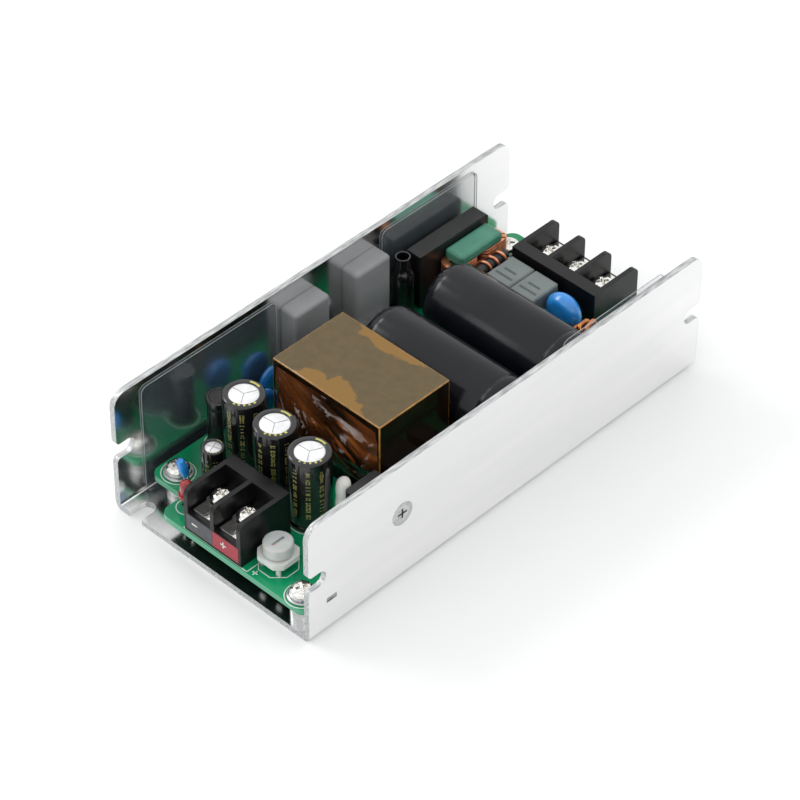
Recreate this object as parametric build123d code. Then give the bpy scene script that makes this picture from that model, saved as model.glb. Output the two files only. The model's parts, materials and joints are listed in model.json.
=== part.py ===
from build123d import *
import os

# Open-frame power supply in a folded aluminium channel.
# X runs along the channel, output end at -X and input end at +X.
# Y runs across it, Z is up, and the origin is the bottom centre of the channel.

# Chassis sheet and its folds
SHEET = 1.5
HEIGHT = 33.5
BEND_INNER = 0.6
WALL_CORNER = 3.5
FOOT_CORNER = 3.0
SLOT_Z = 17.2
SLOT_WIDTH = 4.2
SLOT_DEPTH = 5.3
SLOT_LIP = 1.1
FLOOR_SLOT_WIDTH = 4.0
FLOOR_SLOT_FROM_WALL = 5.05
FLOOR_SETBACK = 3.2
VENT_SIZE = (3.0, 1.4)
VENT_FROM_FRONT = 6.9
VENT_Z = 9.4

# Insulation film
FILM = 0.3
FILM_END_GAP = (7.7, 11.7)
FILM_FAR_TOP = 31.5
FILM_NEAR_PROUD = 0.9
FILM_CORNER = 2.0
FILM_NEAR_FROM_FRONT = 81.5
FILM_WINDOW_MARGIN = 1.6
FILM_WINDOW_FOOT = 5.2

# Board and what carries it
STANDOFF_HEIGHT = 4.5
STANDOFF_DIAMETER = 5.6
BOARD = 1.6
BOARD_END_GAP = 0.4
BOARD_NEAR_GAP = 0.35
BOARD_FAR_GAP = 1.55
BOARD_CORNER = 2.5
NOTCH_RADIUS = 0.8
NOTCH_LENGTH = 7.2
NOTCH_FROM_BLOCK = (7.85, 5.2)
HOLE_CLEARANCE = 0.15
LEAD = 0.6
LEAD_TAIL = 1.2
LEAD_ROOT = 1.0

# Machine screws, M3
THREAD = 3.0
THREAD_CLEARANCE = 0.05
SCREW_CLEARANCE = 0.2
SCREW_HOLE = THREAD + 2 * SCREW_CLEARANCE
PAN_HEAD = (5.6, 2.0)
PAN_CURVE = (0.72, 0.55)
WASHER = (6.9, 0.7)
COUNTERSINK = (6.2, 1.35)
RECESS = (2.8, 0.55, 0.9)
NUT = (5.5, 2.4)
CORNER_SCREW_FROM_END = (12.0, 4.1, 6.7)
CORNER_SCREW_FROM_WALL = 6.5
CORNER_SCREW_SHARE = 0.58

# Barrier terminal blocks
POLE_PITCH = 8.25
FIN = 1.2
FIN_CORNER = 2.0
BLOCK_DEPTH = 15.2
BLOCK_HEIGHT = 12.2
BLOCK_BASE = 5.4
SPINE = 3.4
BLOCK_SCREW_SETBACK = 8.2
STRIP = (10.6, 6.0, 0.8)
STRIP_LIP = 0.9
CLAMP_PLATE = (5.8, 0.9)
BLOCK_SCREW_HEAD = (5.4, 2.1)
BLOCK_SCREW_DEPTH = 3.6
BLOCK_PIN = (1.2, 0.8)
OUTPUT_POLES = 2
INPUT_POLES = 3
OUTPUT_BLOCK_Y = -0.2
INPUT_BLOCK_Y = 0.5

# Output side
OUTPUT_CAN = (10.0, 20.4)
OUTPUT_CAN_LEADS = 5.0
OUTPUT_CAN_STAGGER = (3.0, 1.0, 0.0)
OUTPUT_CAN_PITCH = 11.8
SMALL_CAN = (5.5, 11.5)
SMALL_CAN_LEADS = 2.2
SMALL_CAN_GAP = 2.8
CAN_LIP = 0.45
CAN_LID = 0.72
CAN_BEAD = (0.35, 1.1)
VENT_SCORE = (0.25, 0.2)
VENT_REACH = (0.02, 0.64)
OUTPUT_CHOKE = (9.4, 5.6, 13.2)
OUTPUT_CHOKE_WALL_GAP = 5.9
OUTPUT_CHOKE_LEADS = 6.0
OUTPUT_CHOKE_EDGE = 0.4
RECTIFIER = (10.2, 4.6, 15.2)
RECTIFIER_TOP = (6.6, 2.7)
RECTIFIER_HOLE_DROP = 3.6
RECTIFIER_LEAD_SETBACK = 1.6
RECTIFIER_LIFT = 0.2
RECTIFIER_FROM_BLOCK = 12.7
SEALANT_RADIUS = 1.9
SEALANT_HEIGHT = 15.0
SEALANT_TAPER = ((1.0, 0.0), (0.85, 0.4), (0.5, 0.8))
SEALANT_SHIFT = 3.4
SEALANT_GAP = 0.1
SEALANT_TUCK = 0.05

# Voltage trimmer
TRIM_BASE = (8.2, 1.4)
TRIM_LIFT = 2.3
TRIM_CORNER = 1.7
TRIM_ROTOR = (6.9, 2.9)
TRIM_RUNNING_GAP = 0.3
TRIM_SPIGOT = 2.2
TRIM_SPIGOT_CLEARANCE = 0.15
TRIM_FLARE = (3.2, 0.5)
TRIM_SLOT = (3.6, 0.7, 0.7)
TRIM_LEG = (1.2, 0.5)
TRIM_LEG_OFFSET = 2.6
TRIM_FROM_FRONT = 7.4
TRIM_FROM_BLOCK = 4.85
TRIM_EDGE = 0.3

# Indicator and small parts by the output block
LED_DIAMETER = 3.0
LED_BODY = 4.6
LED_LIFT = 3.4
LED_RIM = (3.8, 0.9)
LED_FROM_BLOCK = 4.55
LED_FROM_FRONT = 5.7
LED_LEADS = 2.54
LED_LEAD = 0.5
BEAD_CAP = (2.4, 5.2)
BEAD_CAP_LIFT = 3.6
BEAD_CAP_LEADS = 1.2
BEAD_CAP_OFFSET = (2.3, 1.7)

# Transformer, a round-post ferrite core in two halves under a cap of tape
CORE = (21.6, 32.7, 20.4)
CORE_YOKE = 4.5
CORE_POST = 13.4
CORE_BORE = 27.4
BOBBIN_BASE_INSET = 1.0
BOBBIN_BASE = 1.7
BOBBIN_CLEARANCE = 0.15
BOBBIN_WALL = 0.9
BOBBIN_CHEEK = (16.0, 1.1)
COIL = 24.2
COIL_SLACK = 0.03
TAPE = 0.3
TRANSFORMER_PINS = 5
TRANSFORMER_PIN = 0.8
TRANSFORMER_PIN_SPAN = (17.2, 25.4)

# Bulk capacitors, lying on their sides
BULK_CAN = (18.0, 40.0)
BULK_ROUND = 2.0
BULK_ROUND_MIDDLE = 0.3
BULK_LEADS = 7.5
BULK_LEAD = 0.8
BULK_LEAD_REACH = 2.2
BULK_CRIMP = (1.2, 0.6)

# Transistors at the far wall, in rubber caps
TRANSISTOR = (10.0, 3.3, 17.4)
RUBBER_CAP = (11.2, 4.9, 20.0)
RUBBER_WALL = 0.8
RUBBER_ROUND = 1.0
TRANSISTOR_LIFT = 0.9
TRANSISTOR_SETBACK = (2.1, 6.5)
TRANSISTOR_PITCH = 2.54
TRANSISTOR_LEAD_OFFSET = 0.3
FLAT_LEAD = (0.8, 0.5)
CLAMP_BAR = (26.0, 1.6, 4.4)
CLAMP_BAR_LIFT = 2.2

# Input side
BRIDGE = (23.0, 4.4, 15.2)
BRIDGE_LIFT = 0.8
BRIDGE_LEADS = 4
BRIDGE_LEAD_SPAN = 18.0
BRIDGE_CORNER = 0.55
BRIDGE_HOLE_LIFT = 8.4
BRIDGE_FROM_WALL = 2.15
BRIDGE_FROM_BULK = 10.6
FUSE = (5.0, 11.6)
FUSE_SLEEVE = 0.35
FUSE_NECK = (3.7, 3.2)
FUSE_SHOULDER = 1.6
FUSE_LIFT = 0.5
FUSE_GAP = 0.3
FUSE_OFFSET = 0.4
FUSE_LEADS = 2.6
CHOKE_RING = (14.0, 5.6, 13.5)
CHOKE_WINDOW = (6.6, 9.0)
CHOKE_LEG_DEPTH = 3.6
CHOKE_EDGE = 0.5
CHOKE_SHIFT = 3.4
CHOKE_GAP = 0.1
CHOKE_COIL_BULGE = (2.5, 0.1)
CHOKE_COIL_TURNS = 7
CHOKE_COIL_GAP = 1.2
CHOKE_COIL_END = 0.2
CHOKE_COIL_CORNER = 2.4
CHOKE_GROOVE = 0.4
CHOKE_LEAD_INSET = 1.2
CHOKE_TURN_GAP = 0.4
CHOKE_LIFT = 0.9
ROD = (2.6, 9.6)
ROD_TURNS = 4
ROD_WIRE = 0.8
ROD_HEIGHT = 10.0
ROD_END = 1.0
ROD_EDGE = 0.25
ROD_FROM_BULK = 1.0
ROD_GAP = 0.1
FILM_CAP = (9.2, 7.3, 11.0)
FILM_CAP_GAP = 0.2
FILM_CAP_ROD_GAP = 0.3
FILM_CAP_EDGE = 0.35
FILM_CAP_LEADS = 6.0
VARISTOR = (9.2, 4.6)
VARISTOR_LIFT = 2.4
VARISTOR_SHIFT = 5.4
VARISTOR_GAP = 0.4
TOROID = (9.6, 5.0, 3.0)
TOROID_WIRE = 1.2
TOROID_TURNS = 14
TOROID_GROOVE = 0.5
TOROID_EDGE = 0.7
TOROID_SHIFT = 3.4
TOROID_GAP = 0.4
TOROID_LEADS = (5.0, 1.6)
DISC = (8.0, 2.6)
DISC_LIFT = 0.6
DISC_LEADS = 5.0
DISC_LEAD_ROOT = 0.6
DISC_EDGE = (0.8, 0.2, 0.6)
FIRST_DISC_SHIFT = 1.2
FIRST_DISC_FROM_WALL = 7.2
SECOND_DISC_SHIFT = 11.4
SECOND_DISC_FROM_WALL = 2.9
DRUM = (6.2, 14.2)
DRUM_FLANGE = (0.3, 1.4)
DRUM_EDGE = 0.5
DRUM_SHIFT = 0.2
DRUM_FROM_WALL = 3.15
DRUM_LEADS = 3.0

# Control parts beside the transformer
CONTROLLER = (9.4, 6.3, 3.4)
CONTROLLER_PINS = 4
OPTOCOUPLER = (4.6, 6.3, 3.4)
OPTOCOUPLER_PINS = 2
DIP_LIFT = 0.5
DIP_ROW = 7.62
DIP_PIN = (0.5, 0.3)
DIP_SHOULDER = (1.2, 0.5)
DIP_EDGE = 0.3
CONTROLLER_SHIFT = 0.1
OPTOCOUPLER_SHIFT = 0.6
CONTROL_FROM_WALL = 6.8
RESISTOR = (3.4, 8.4)
RESISTOR_LIFT = 0.4
RESISTOR_REACH = 1.2
RESISTOR_SHIFT = 1.0

# Gaps along the channel, from the output end to the input end
END_GAP = (0.7, 0.6)
GAP_BLOCK_CANS = 1.3
GAP_CANS_CORE = 6.1
GAP_CORE_BULK = 2.1
GAP_BULK = 3.0
GAP_BULK_FILM = 1.1
GAP_FILM_BLOCK = 1.3

# Gaps across the channel, in the rows that decide its width
GAP_CAN_DRUM = 0.2
GAP_CONTROL_CORE = 2.19
GAP_CORE_CLAMP = 5.75
GAP_BULK_LEAD_WALL = 3.85
GAP_BULK_CLAMP = 5.95
GAP_TOROID_WALL = 4.65

# Width of each row, and the channel as wide as the widest
CLAMP_STACK = RUBBER_CAP[1] + CLAMP_BAR[1]
DIP_REACH = CONTROL_FROM_WALL + (DIP_ROW + DIP_PIN[1]) / 2
CAN_ROW = (
    OUTPUT_CHOKE_WALL_GAP + OUTPUT_CHOKE[1] + SEALANT_GAP + 2 * SEALANT_RADIUS - SEALANT_TUCK
    + 2 * OUTPUT_CAN_PITCH + OUTPUT_CAN[0] + GAP_CAN_DRUM + DRUM[0] + DRUM_FROM_WALL
)
CORE_ROW = DIP_REACH + GAP_CONTROL_CORE + CORE[1] + 2 * TAPE + GAP_CORE_CLAMP + CLAMP_STACK
BULK_ROW = GAP_BULK_LEAD_WALL + BULK_LEAD_REACH + BULK_CAN[1] + GAP_BULK_CLAMP + CLAMP_STACK
CHOKE_STACK = (
    BRIDGE_FROM_WALL + BRIDGE[1] + CHOKE_GAP + CHOKE_RING[1] + 2 * CHOKE_COIL_BULGE[1]
    + ROD_GAP + ROD[0] + 2 * ROD_WIRE + FILM_CAP_ROD_GAP
)
INPUT_ROW = (
    CHOKE_STACK + 2 * FILM_CAP[1] + FILM_CAP_GAP + 2 * VARISTOR_GAP + VARISTOR[0]
    + TOROID[0] + 2 * TOROID_WIRE + GAP_TOROID_WALL
)
WIDTH = 2 * SHEET + max(CAN_ROW, CORE_ROW, BULK_ROW, INPUT_ROW)

# Places that follow from the sizes above
LENGTH = (
    END_GAP[0] + BLOCK_DEPTH + GAP_BLOCK_CANS + OUTPUT_CAN[0] + max(OUTPUT_CAN_STAGGER)
    + GAP_CANS_CORE + CORE[0] + 2 * TAPE + GAP_CORE_BULK + 2 * BULK_CAN[0] + GAP_BULK
    + GAP_BULK_FILM + FILM_CAP[0] + GAP_FILM_BLOCK + BLOCK_DEPTH + END_GAP[1]
)
FRONT = -LENGTH / 2
REAR = LENGTH / 2
FAR = WIDTH / 2 - SHEET
NEAR = -FAR
BOARD_BOTTOM = SHEET + STANDOFF_HEIGHT
BOARD_TOP = BOARD_BOTTOM + BOARD
BOARD_FAR = FAR - FILM - BOARD_FAR_GAP
BOARD_NEAR = NEAR + FILM + BOARD_NEAR_GAP
DRUM_Y = FAR - DRUM_FROM_WALL - DRUM[0] / 2
OUTPUT_CAN_Y = DRUM_Y - DRUM[0] / 2 - GAP_CAN_DRUM - OUTPUT_CAN[0] / 2 - OUTPUT_CAN_PITCH
TRANSFORMER_Y = NEAR + DIP_REACH + GAP_CONTROL_CORE + TAPE + CORE[1] / 2
BULK_Y_END = FAR - CLAMP_STACK - GAP_BULK_CLAMP
FILM_CAP_Y = FAR - CHOKE_STACK - FILM_CAP[1] - FILM_CAP_GAP / 2
VARISTOR_Y = FILM_CAP_Y - FILM_CAP[1] - FILM_CAP_GAP / 2 - VARISTOR_GAP - VARISTOR[0] / 2
TOROID_Y = VARISTOR_Y - VARISTOR[0] / 2 - TOROID_GAP - TOROID[0] / 2 - TOROID_WIRE
OUTPUT_BLOCK_BACK = FRONT + END_GAP[0] + BLOCK_DEPTH
CANS_START = OUTPUT_BLOCK_BACK + GAP_BLOCK_CANS
CORE_START = CANS_START + OUTPUT_CAN[0] + max(OUTPUT_CAN_STAGGER) + GAP_CANS_CORE
CORE_END = CORE_START + CORE[0] + 2 * TAPE
CORE_X = (CORE_START + CORE_END) / 2
CORE_LOW = BOARD_TOP + BOBBIN_BASE
CORE_HIGH = CORE_LOW + CORE[2]
WINDOW_Z = (CORE_LOW + CORE_YOKE, CORE_HIGH - CORE_YOKE)
BULK_START = CORE_END + GAP_CORE_BULK
BULK_X = [BULK_START + (n + 0.5) * BULK_CAN[0] + n * GAP_BULK for n in range(2)]
FILM_START = BULK_START + 2 * BULK_CAN[0] + GAP_BULK + GAP_BULK_FILM
INPUT_BLOCK_BACK = REAR - END_GAP[1] - BLOCK_DEPTH
OUTPUT_BLOCK_HALF = OUTPUT_POLES * POLE_PITCH / 2 + FIN / 2
INPUT_BLOCK_HALF = INPUT_POLES * POLE_PITCH / 2 + FIN / 2
TRIM_PLACE = (FRONT + TRIM_FROM_FRONT, OUTPUT_BLOCK_Y - OUTPUT_BLOCK_HALF - TRIM_FROM_BLOCK)
TRANSISTOR_X = [CORE_END - TRANSISTOR_SETBACK[0], BULK_X[0] + TRANSISTOR_SETBACK[1]]
BRIDGE_Y = FAR - BRIDGE_FROM_WALL - BRIDGE[1] / 2
BRIDGE_X = BULK_X[1] + BRIDGE_FROM_BULK
TRIM_NEAR_SIDE = TRIM_PLACE[1] - TRIM_BASE[0] / 2
CORNER_SCREWS = [
    (FRONT + CORNER_SCREW_FROM_END[0], FAR - CORNER_SCREW_FROM_WALL),
    (FRONT + CORNER_SCREW_FROM_END[1], TRIM_NEAR_SIDE + CORNER_SCREW_SHARE * (NEAR - TRIM_NEAR_SIDE)),
    (REAR - CORNER_SCREW_FROM_END[0], NEAR + CORNER_SCREW_FROM_WALL),
    (REAR - CORNER_SCREW_FROM_END[2], FAR - CORNER_SCREW_FROM_WALL),
]
RECTIFIER_X = OUTPUT_BLOCK_BACK + RECTIFIER_FROM_BLOCK
RECTIFIER_SCREW_Z = BOARD_TOP + RECTIFIER_LIFT + RECTIFIER[2] - RECTIFIER_HOLE_DROP
CLAMP_X = sum(TRANSISTOR_X) / 2
CLAMP_Z = BOARD_TOP + CLAMP_BAR_LIFT + CLAMP_BAR[2] / 2

# Each lead adds the form of its hole here, and the board is cut from the list
drilled = []


def block(x, y, z):
    """A box from its (low, high) span along each axis."""
    size = [span[1] - span[0] for span in (x, y, z)]
    middle = [(span[0] + span[1]) / 2 for span in (x, y, z)]
    return Pos(*middle) * Box(*size)


def around(middle, size):
    """The (low, high) span of a size centred on a place."""
    return middle - size / 2, middle + size / 2


def upright(x, y, z, diameter):
    """A vertical cylinder between two heights."""
    return Pos(x, y, sum(z) / 2) * Cylinder(diameter / 2, z[1] - z[0])


def along_y(x, y, z, diameter):
    """A cylinder along Y between two places."""
    return Pos(x, sum(y) / 2, z) * Rot(90, 0, 0) * Cylinder(diameter / 2, y[1] - y[0])


def along_x(x, y, z, diameter):
    """A cylinder along X between two places."""
    return Pos(sum(x) / 2, y, z) * Rot(0, 90, 0) * Cylinder(diameter / 2, x[1] - x[0])


def turned(profile, x, y, z):
    """A body turned about Z from (radius, height) points on its profile."""
    outline = make_face(Polyline(*[(r, 0, h) for r, h in profile], close=True))
    return Pos(x, y, z) * revolve(outline, Axis.Z)


def lead(x, y, top, diameter=LEAD):
    """A round wire lead through the board, and its drilled hole."""
    drilled.append(upright(x, y, (BOARD_BOTTOM - 1, BOARD_TOP + 1), diameter + 2 * HOLE_CLEARANCE))
    return upright(x, y, (BOARD_BOTTOM - LEAD_TAIL, top), diameter)


def flat_lead(x, y, top, size, turn=0):
    """A stamped lead of (width, thickness) through the board, and its routed hole."""
    width, thickness = size
    hole = Box(width + 2 * HOLE_CLEARANCE, thickness + 2 * HOLE_CLEARANCE, BOARD + 2)
    drilled.append(Pos(x, y, (BOARD_BOTTOM + BOARD_TOP) / 2) * Rot(0, 0, turn) * hole)
    low = BOARD_BOTTOM - LEAD_TAIL
    return Pos(x, y, (low + top) / 2) * Rot(0, 0, turn) * Box(width, thickness, top - low)


def cross_recess(x, y, top):
    """The tool that cuts a cross recess down into a screw head."""
    length, width, depth = RECESS
    z = (top - depth, top)
    return block(around(x, length), around(y, width), z) + block(around(x, width), around(y, length), z)


def chassis():
    """The folded channel with its slots, vent and countersunk holes."""
    outer = BEND_INNER + SHEET
    shell = block((FRONT, REAR), around(0, WIDTH), (0, HEIGHT))
    bends = [e for e in shell.edges().filter_by(Axis.X) if e.center().Z < SHEET]
    shell = fillet(bends, outer)
    inside = block((FRONT - 1, REAR + 1), (NEAR, FAR), (SHEET, HEIGHT + outer))
    folds = [e for e in inside.edges().filter_by(Axis.X) if e.center().Z < 2 * SHEET]
    channel = shell - fillet(folds, BEND_INNER)

    side = block((FRONT, REAR), around(0, WIDTH), (0, HEIGHT))
    feet = [e for e in side.edges().filter_by(Axis.Y) if e.center().Z < SHEET and e.center().X > 0]
    side = fillet(feet, FOOT_CORNER)
    tops = [e for e in side.edges().filter_by(Axis.Y) if e.center().Z > HEIGHT - SHEET]
    channel = channel & fillet(tops, WALL_CORNER)
    channel -= block((REAR - FLOOR_SETBACK, REAR + 1), (NEAR + BEND_INNER, FAR - BEND_INNER), (-1, 2 * SHEET))

    straight = SLOT_DEPTH - SLOT_WIDTH / 2
    for end, inward in ((FRONT, 1), (REAR, -1)):
        tip = end + inward * straight
        channel -= along_y(tip, around(0, WIDTH + 2), SLOT_Z, SLOT_WIDTH)
        span = sorted((end - inward, tip))
        channel -= block(span, around(0, WIDTH + 2), around(SLOT_Z, SLOT_WIDTH))
    lips = [
        e
        for e in channel.edges().filter_by(Axis.Y)
        if abs(abs(e.center().X) - LENGTH / 2) < 0.01
        and abs(abs(e.center().Z - SLOT_Z) - SLOT_WIDTH / 2) < 0.01
    ]
    channel = fillet(lips, SLOT_LIP)

    reach = SLOT_DEPTH - FLOOR_SLOT_WIDTH / 2
    for end, inward, y in floor_slots():
        tip = end + inward * reach
        span = sorted((end - inward, tip))
        channel -= upright(tip, y, (-1, SHEET + 1), FLOOR_SLOT_WIDTH)
        channel -= block(span, around(y, FLOOR_SLOT_WIDTH), (-1, SHEET + 1))

    vent_x = FRONT + VENT_FROM_FRONT
    channel -= block(around(vent_x, VENT_SIZE[0]), around(NEAR, 4 * SHEET), around(VENT_Z, VENT_SIZE[1]))
    for x, z, side in wall_screw_places():
        channel -= countersunk(x, z, side, SCREW_CLEARANCE, SHEET)
    for x, y in CORNER_SCREWS:
        channel -= upright(x, y, (-1, SHEET + 1), SCREW_HOLE)
    return channel


def floor_slots():
    """End, inward direction and centre line of each open slot in the floor."""
    y = FAR - FLOOR_SLOT_FROM_WALL
    return [(FRONT, 1, y), (REAR - FLOOR_SETBACK, -1, -y)]


def wall_screw_places():
    """X, Z and side of each countersunk screw in the walls."""
    return [(RECTIFIER_X, RECTIFIER_SCREW_Z, -1), (CLAMP_X, CLAMP_Z, 1)]


def countersunk(x, z, side, clearance, length):
    """A countersunk form whose flat is flush with the wall's outside."""
    head, depth = COUNTERSINK
    face = side * WIDTH / 2
    cone = Cone(THREAD / 2 + clearance, head / 2, depth)
    form = Pos(x, face - side * depth / 2, z) * Rot(-90 * side, 0, 0) * cone
    shank = sorted((face - side * depth / 2, face - side * length))
    return form + along_y(x, shank, z, THREAD + 2 * clearance)


def insulation_film():
    """One sheet folded into a tray, with windows where parts press on the walls."""
    x = (FRONT + FILM_END_GAP[0], REAR - FILM_END_GAP[1])
    near_top = HEIGHT + FILM_NEAR_PROUD
    lift = SHEET + FILM
    outer = block(x, (NEAR, FAR), (SHEET, near_top))
    folds = [e for e in outer.edges().filter_by(Axis.X) if e.center().Z < 2 * SHEET]
    outer = fillet(folds, BEND_INNER)
    inner = block((x[0] - 1, x[1] + 1), (NEAR + FILM, FAR - FILM), (lift, near_top + 1))
    folds = [e for e in inner.edges().filter_by(Axis.X) if e.center().Z < 2 * SHEET]
    tray = outer - fillet(folds, BEND_INNER - FILM)

    window = (
        TRANSISTOR_X[0] - RUBBER_CAP[0] / 2 - FILM_WINDOW_MARGIN,
        TRANSISTOR_X[1] + RUBBER_CAP[0] / 2 + FILM_WINDOW_MARGIN,
    )
    foot = SHEET + FILM_WINDOW_FOOT
    tray -= block((x[0] - 1, x[1] + 1), (0, FAR + 1), (FILM_FAR_TOP, near_top + 1))
    tray -= block(window, (0, FAR + 1), (foot, near_top + 1))
    tray -= block((x[0] - 1, FRONT + FILM_NEAR_FROM_FRONT), (NEAR - 1, 0), (foot, near_top + 1))
    corners = [
        e
        for e in tray.edges().filter_by(Axis.Y)
        if e.length < 2 * FILM and e.center().Z > FILM_FAR_TOP - 1
    ]
    tray = fillet(corners, FILM_CORNER)
    for px, py in CORNER_SCREWS:
        tray -= upright(px, py, (0, lift + 1), STANDOFF_DIAMETER + 1)
    for end, inward, y in floor_slots():
        reach = end + inward * (SLOT_DEPTH + 1)
        tray -= block(sorted((end - inward, reach)), around(y, FLOOR_SLOT_WIDTH + 2), (0, lift + 1))
    return tray


def standoffs():
    """Round threaded pillars clinched into the floor."""
    bore = THREAD
    group = []
    for x, y in CORNER_SCREWS:
        pillar = upright(x, y, (SHEET, BOARD_BOTTOM), STANDOFF_DIAMETER)
        spigot = upright(x, y, (0, SHEET), SCREW_HOLE)
        group.append(pillar + spigot - upright(x, y, (-1, BOARD_BOTTOM + 1), bore))
    return group


def board_washers():
    """A washer under each board screw."""
    diameter, thick = WASHER
    group = []
    for x, y in CORNER_SCREWS:
        ring = upright(x, y, (BOARD_TOP, BOARD_TOP + thick), diameter)
        group.append(ring - upright(x, y, (BOARD_TOP - 1, BOARD_TOP + thick + 1), SCREW_HOLE))
    return group


def pan_screw(x, y, seat, head, shank):
    """A pan-head screw with its head on a seat and its shank below."""
    r, height = head[0] / 2, head[1]
    thread = THREAD / 2 - THREAD_CLEARANCE
    profile = [
        (0, -shank), (thread, -shank), (thread, 0), (r, 0), (r, PAN_CURVE[1] * height),
        (PAN_CURVE[0] * r, height), (0, height),
    ]
    return turned(profile, x, y, seat) - cross_recess(x, y, seat + height)


def board_screws():
    """The four screws that hold the board down."""
    seat = BOARD_TOP + WASHER[1]
    length = WASHER[1] + BOARD + STANDOFF_HEIGHT
    return [pan_screw(x, y, seat, PAN_HEAD, length) for x, y in CORNER_SCREWS]


def board_depth(point):
    """How far a point lies inside the board's full rectangle."""
    ends = (point.X - FRONT - BOARD_END_GAP, REAR - BOARD_END_GAP - point.X)
    return min(*ends, point.Y - BOARD_NEAR, BOARD_FAR - point.Y)


def circuit_board():
    """The board with its two corner notches and every drilled hole."""
    x = (FRONT + BOARD_END_GAP, REAR - BOARD_END_GAP)
    board = block(x, (BOARD_NEAR, BOARD_FAR), (BOARD_BOTTOM, BOARD_TOP))
    high = (BOARD_BOTTOM - 1, BOARD_TOP + 1)
    far_notch = OUTPUT_BLOCK_Y + OUTPUT_BLOCK_HALF + NOTCH_FROM_BLOCK[0]
    near_notch = INPUT_BLOCK_Y - INPUT_BLOCK_HALF - NOTCH_FROM_BLOCK[1]
    board -= block((x[0] - 1, x[0] + NOTCH_LENGTH), (far_notch, BOARD_FAR + 1), high)
    board -= block((x[1] - NOTCH_LENGTH, x[1] + 1), (BOARD_NEAR - 1, near_notch), high)
    upright_edges = board.edges().filter_by(Axis.Z)
    inner = [e for e in upright_edges if board_depth(e.center()) > 1]
    board = fillet(inner, NOTCH_RADIUS)
    outer = [e for e in board.edges().filter_by(Axis.Z) if board_depth(e.center()) < HOLE_CLEARANCE]
    board = fillet(outer, BOARD_CORNER)
    for px, py in CORNER_SCREWS:
        board -= upright(px, py, high, SCREW_HOLE)
    return board - drilled


def pole_places(back, toward, y, poles):
    """Screw places of a terminal block, one for each pole."""
    x = back + toward * BLOCK_SCREW_SETBACK
    return [(x, y + POLE_PITCH * (n - (poles - 1) / 2)) for n in range(poles)]


def pin_x(back, toward):
    """Where a terminal strip turns down through the block."""
    return back + toward * (SPINE + STRIP_LIP)


def terminal_housing(back, toward, y, poles):
    """A barrier block that opens toward the end of the channel."""
    front = back + toward * BLOCK_DEPTH
    width = poles * POLE_PITCH + FIN
    top = BOARD_TOP + BLOCK_HEIGHT
    floor = BOARD_TOP + BLOCK_BASE
    body = block(sorted((back, front)), around(y, width), (BOARD_TOP, floor))
    spine = sorted((back, back + toward * SPINE))
    body += block(spine, around(y, width), (floor, top))
    for n in range(poles + 1):
        fin_y = y + POLE_PITCH * (n - poles / 2)
        fin = block(sorted((back, front)), around(fin_y, FIN), (BOARD_TOP, top))
        edge = [
            e
            for e in fin.edges().filter_by(Axis.Y)
            if abs(e.center().X - front) < 0.01 and e.center().Z > floor
        ]
        body += fillet(edge, FIN_CORNER)
    for x, py in pole_places(back, toward, y, poles):
        body -= upright(x, py, (floor - BLOCK_SCREW_DEPTH, floor + 1), SCREW_HOLE)
        pin = [size + 2 * HOLE_CLEARANCE for size in BLOCK_PIN]
        at = pin_x(back, toward)
        body -= block(around(at, pin[1]), around(py, pin[0]), (BOARD_TOP - 1, floor + 1))
    return body


def terminal_strips(back, toward, y, poles):
    """The plated strips under the screws, each with a pin into the board."""
    length, width, thick = STRIP
    floor = BOARD_TOP + BLOCK_BASE
    group = []
    for x, py in pole_places(back, toward, y, poles):
        start = back + toward * SPINE
        strip = block(sorted((start, start + toward * length)), around(py, width), (floor, floor + thick))
        strip += flat_lead(pin_x(back, toward), py, floor + thick / 2, BLOCK_PIN, 90)
        group.append(strip - upright(x, py, (floor - 1, floor + thick + 1), THREAD))
    return group


def clamp_plates(back, toward, y, poles):
    """The square plates that press the wires down."""
    size, thick = CLAMP_PLATE
    seat = BOARD_TOP + BLOCK_BASE + STRIP[2]
    group = []
    for x, py in pole_places(back, toward, y, poles):
        plate = block(around(x, size), around(py, size), (seat, seat + thick))
        plate = chamfer(plate.edges().filter_by(Axis.Z), size / 6)
        group.append(plate - upright(x, py, (seat - 1, seat + thick + 1), SCREW_HOLE))
    return group


def terminal_screws(back, toward, y, poles):
    """The wire screws of a terminal block."""
    seat = BOARD_TOP + BLOCK_BASE + STRIP[2] + CLAMP_PLATE[1]
    shank = seat - BOARD_TOP - BLOCK_BASE + BLOCK_SCREW_DEPTH - 1
    return [pan_screw(x, py, seat, BLOCK_SCREW_HEAD, shank) for x, py in pole_places(back, toward, y, poles)]


def upright_capacitor(x, y, size, spread):
    """A can on end: sleeve with its top lip, scored lid, rolled groove and two leads."""
    diameter, height = size
    r = diameter / 2
    groove, groove_z = CAN_BEAD
    profile = [
        (0, 0), (r, 0), (r, groove_z), (r - groove, groove_z + groove), (r, groove_z + 2 * groove),
        (r, height - CAN_LIP), (r - CAN_LIP, height), (r * CAN_LID, height),
        (r * CAN_LID, height - CAN_LIP / 2), (0, height - CAN_LIP / 2),
    ]
    can = turned(profile, x, y, BOARD_TOP)
    width, deep = VENT_SCORE
    lid = BOARD_TOP + height - CAN_LIP / 2
    for turn in (90, 210, 330):
        score = block((r * VENT_REACH[0], r * VENT_REACH[1]), around(0, width), around(0, 2 * deep))
        can -= Pos(x, y, lid) * Rot(0, 0, turn) * score
    for side in (-1, 1):
        can += lead(x, y + side * spread / 2, BOARD_TOP + groove_z)
    return can


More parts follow.
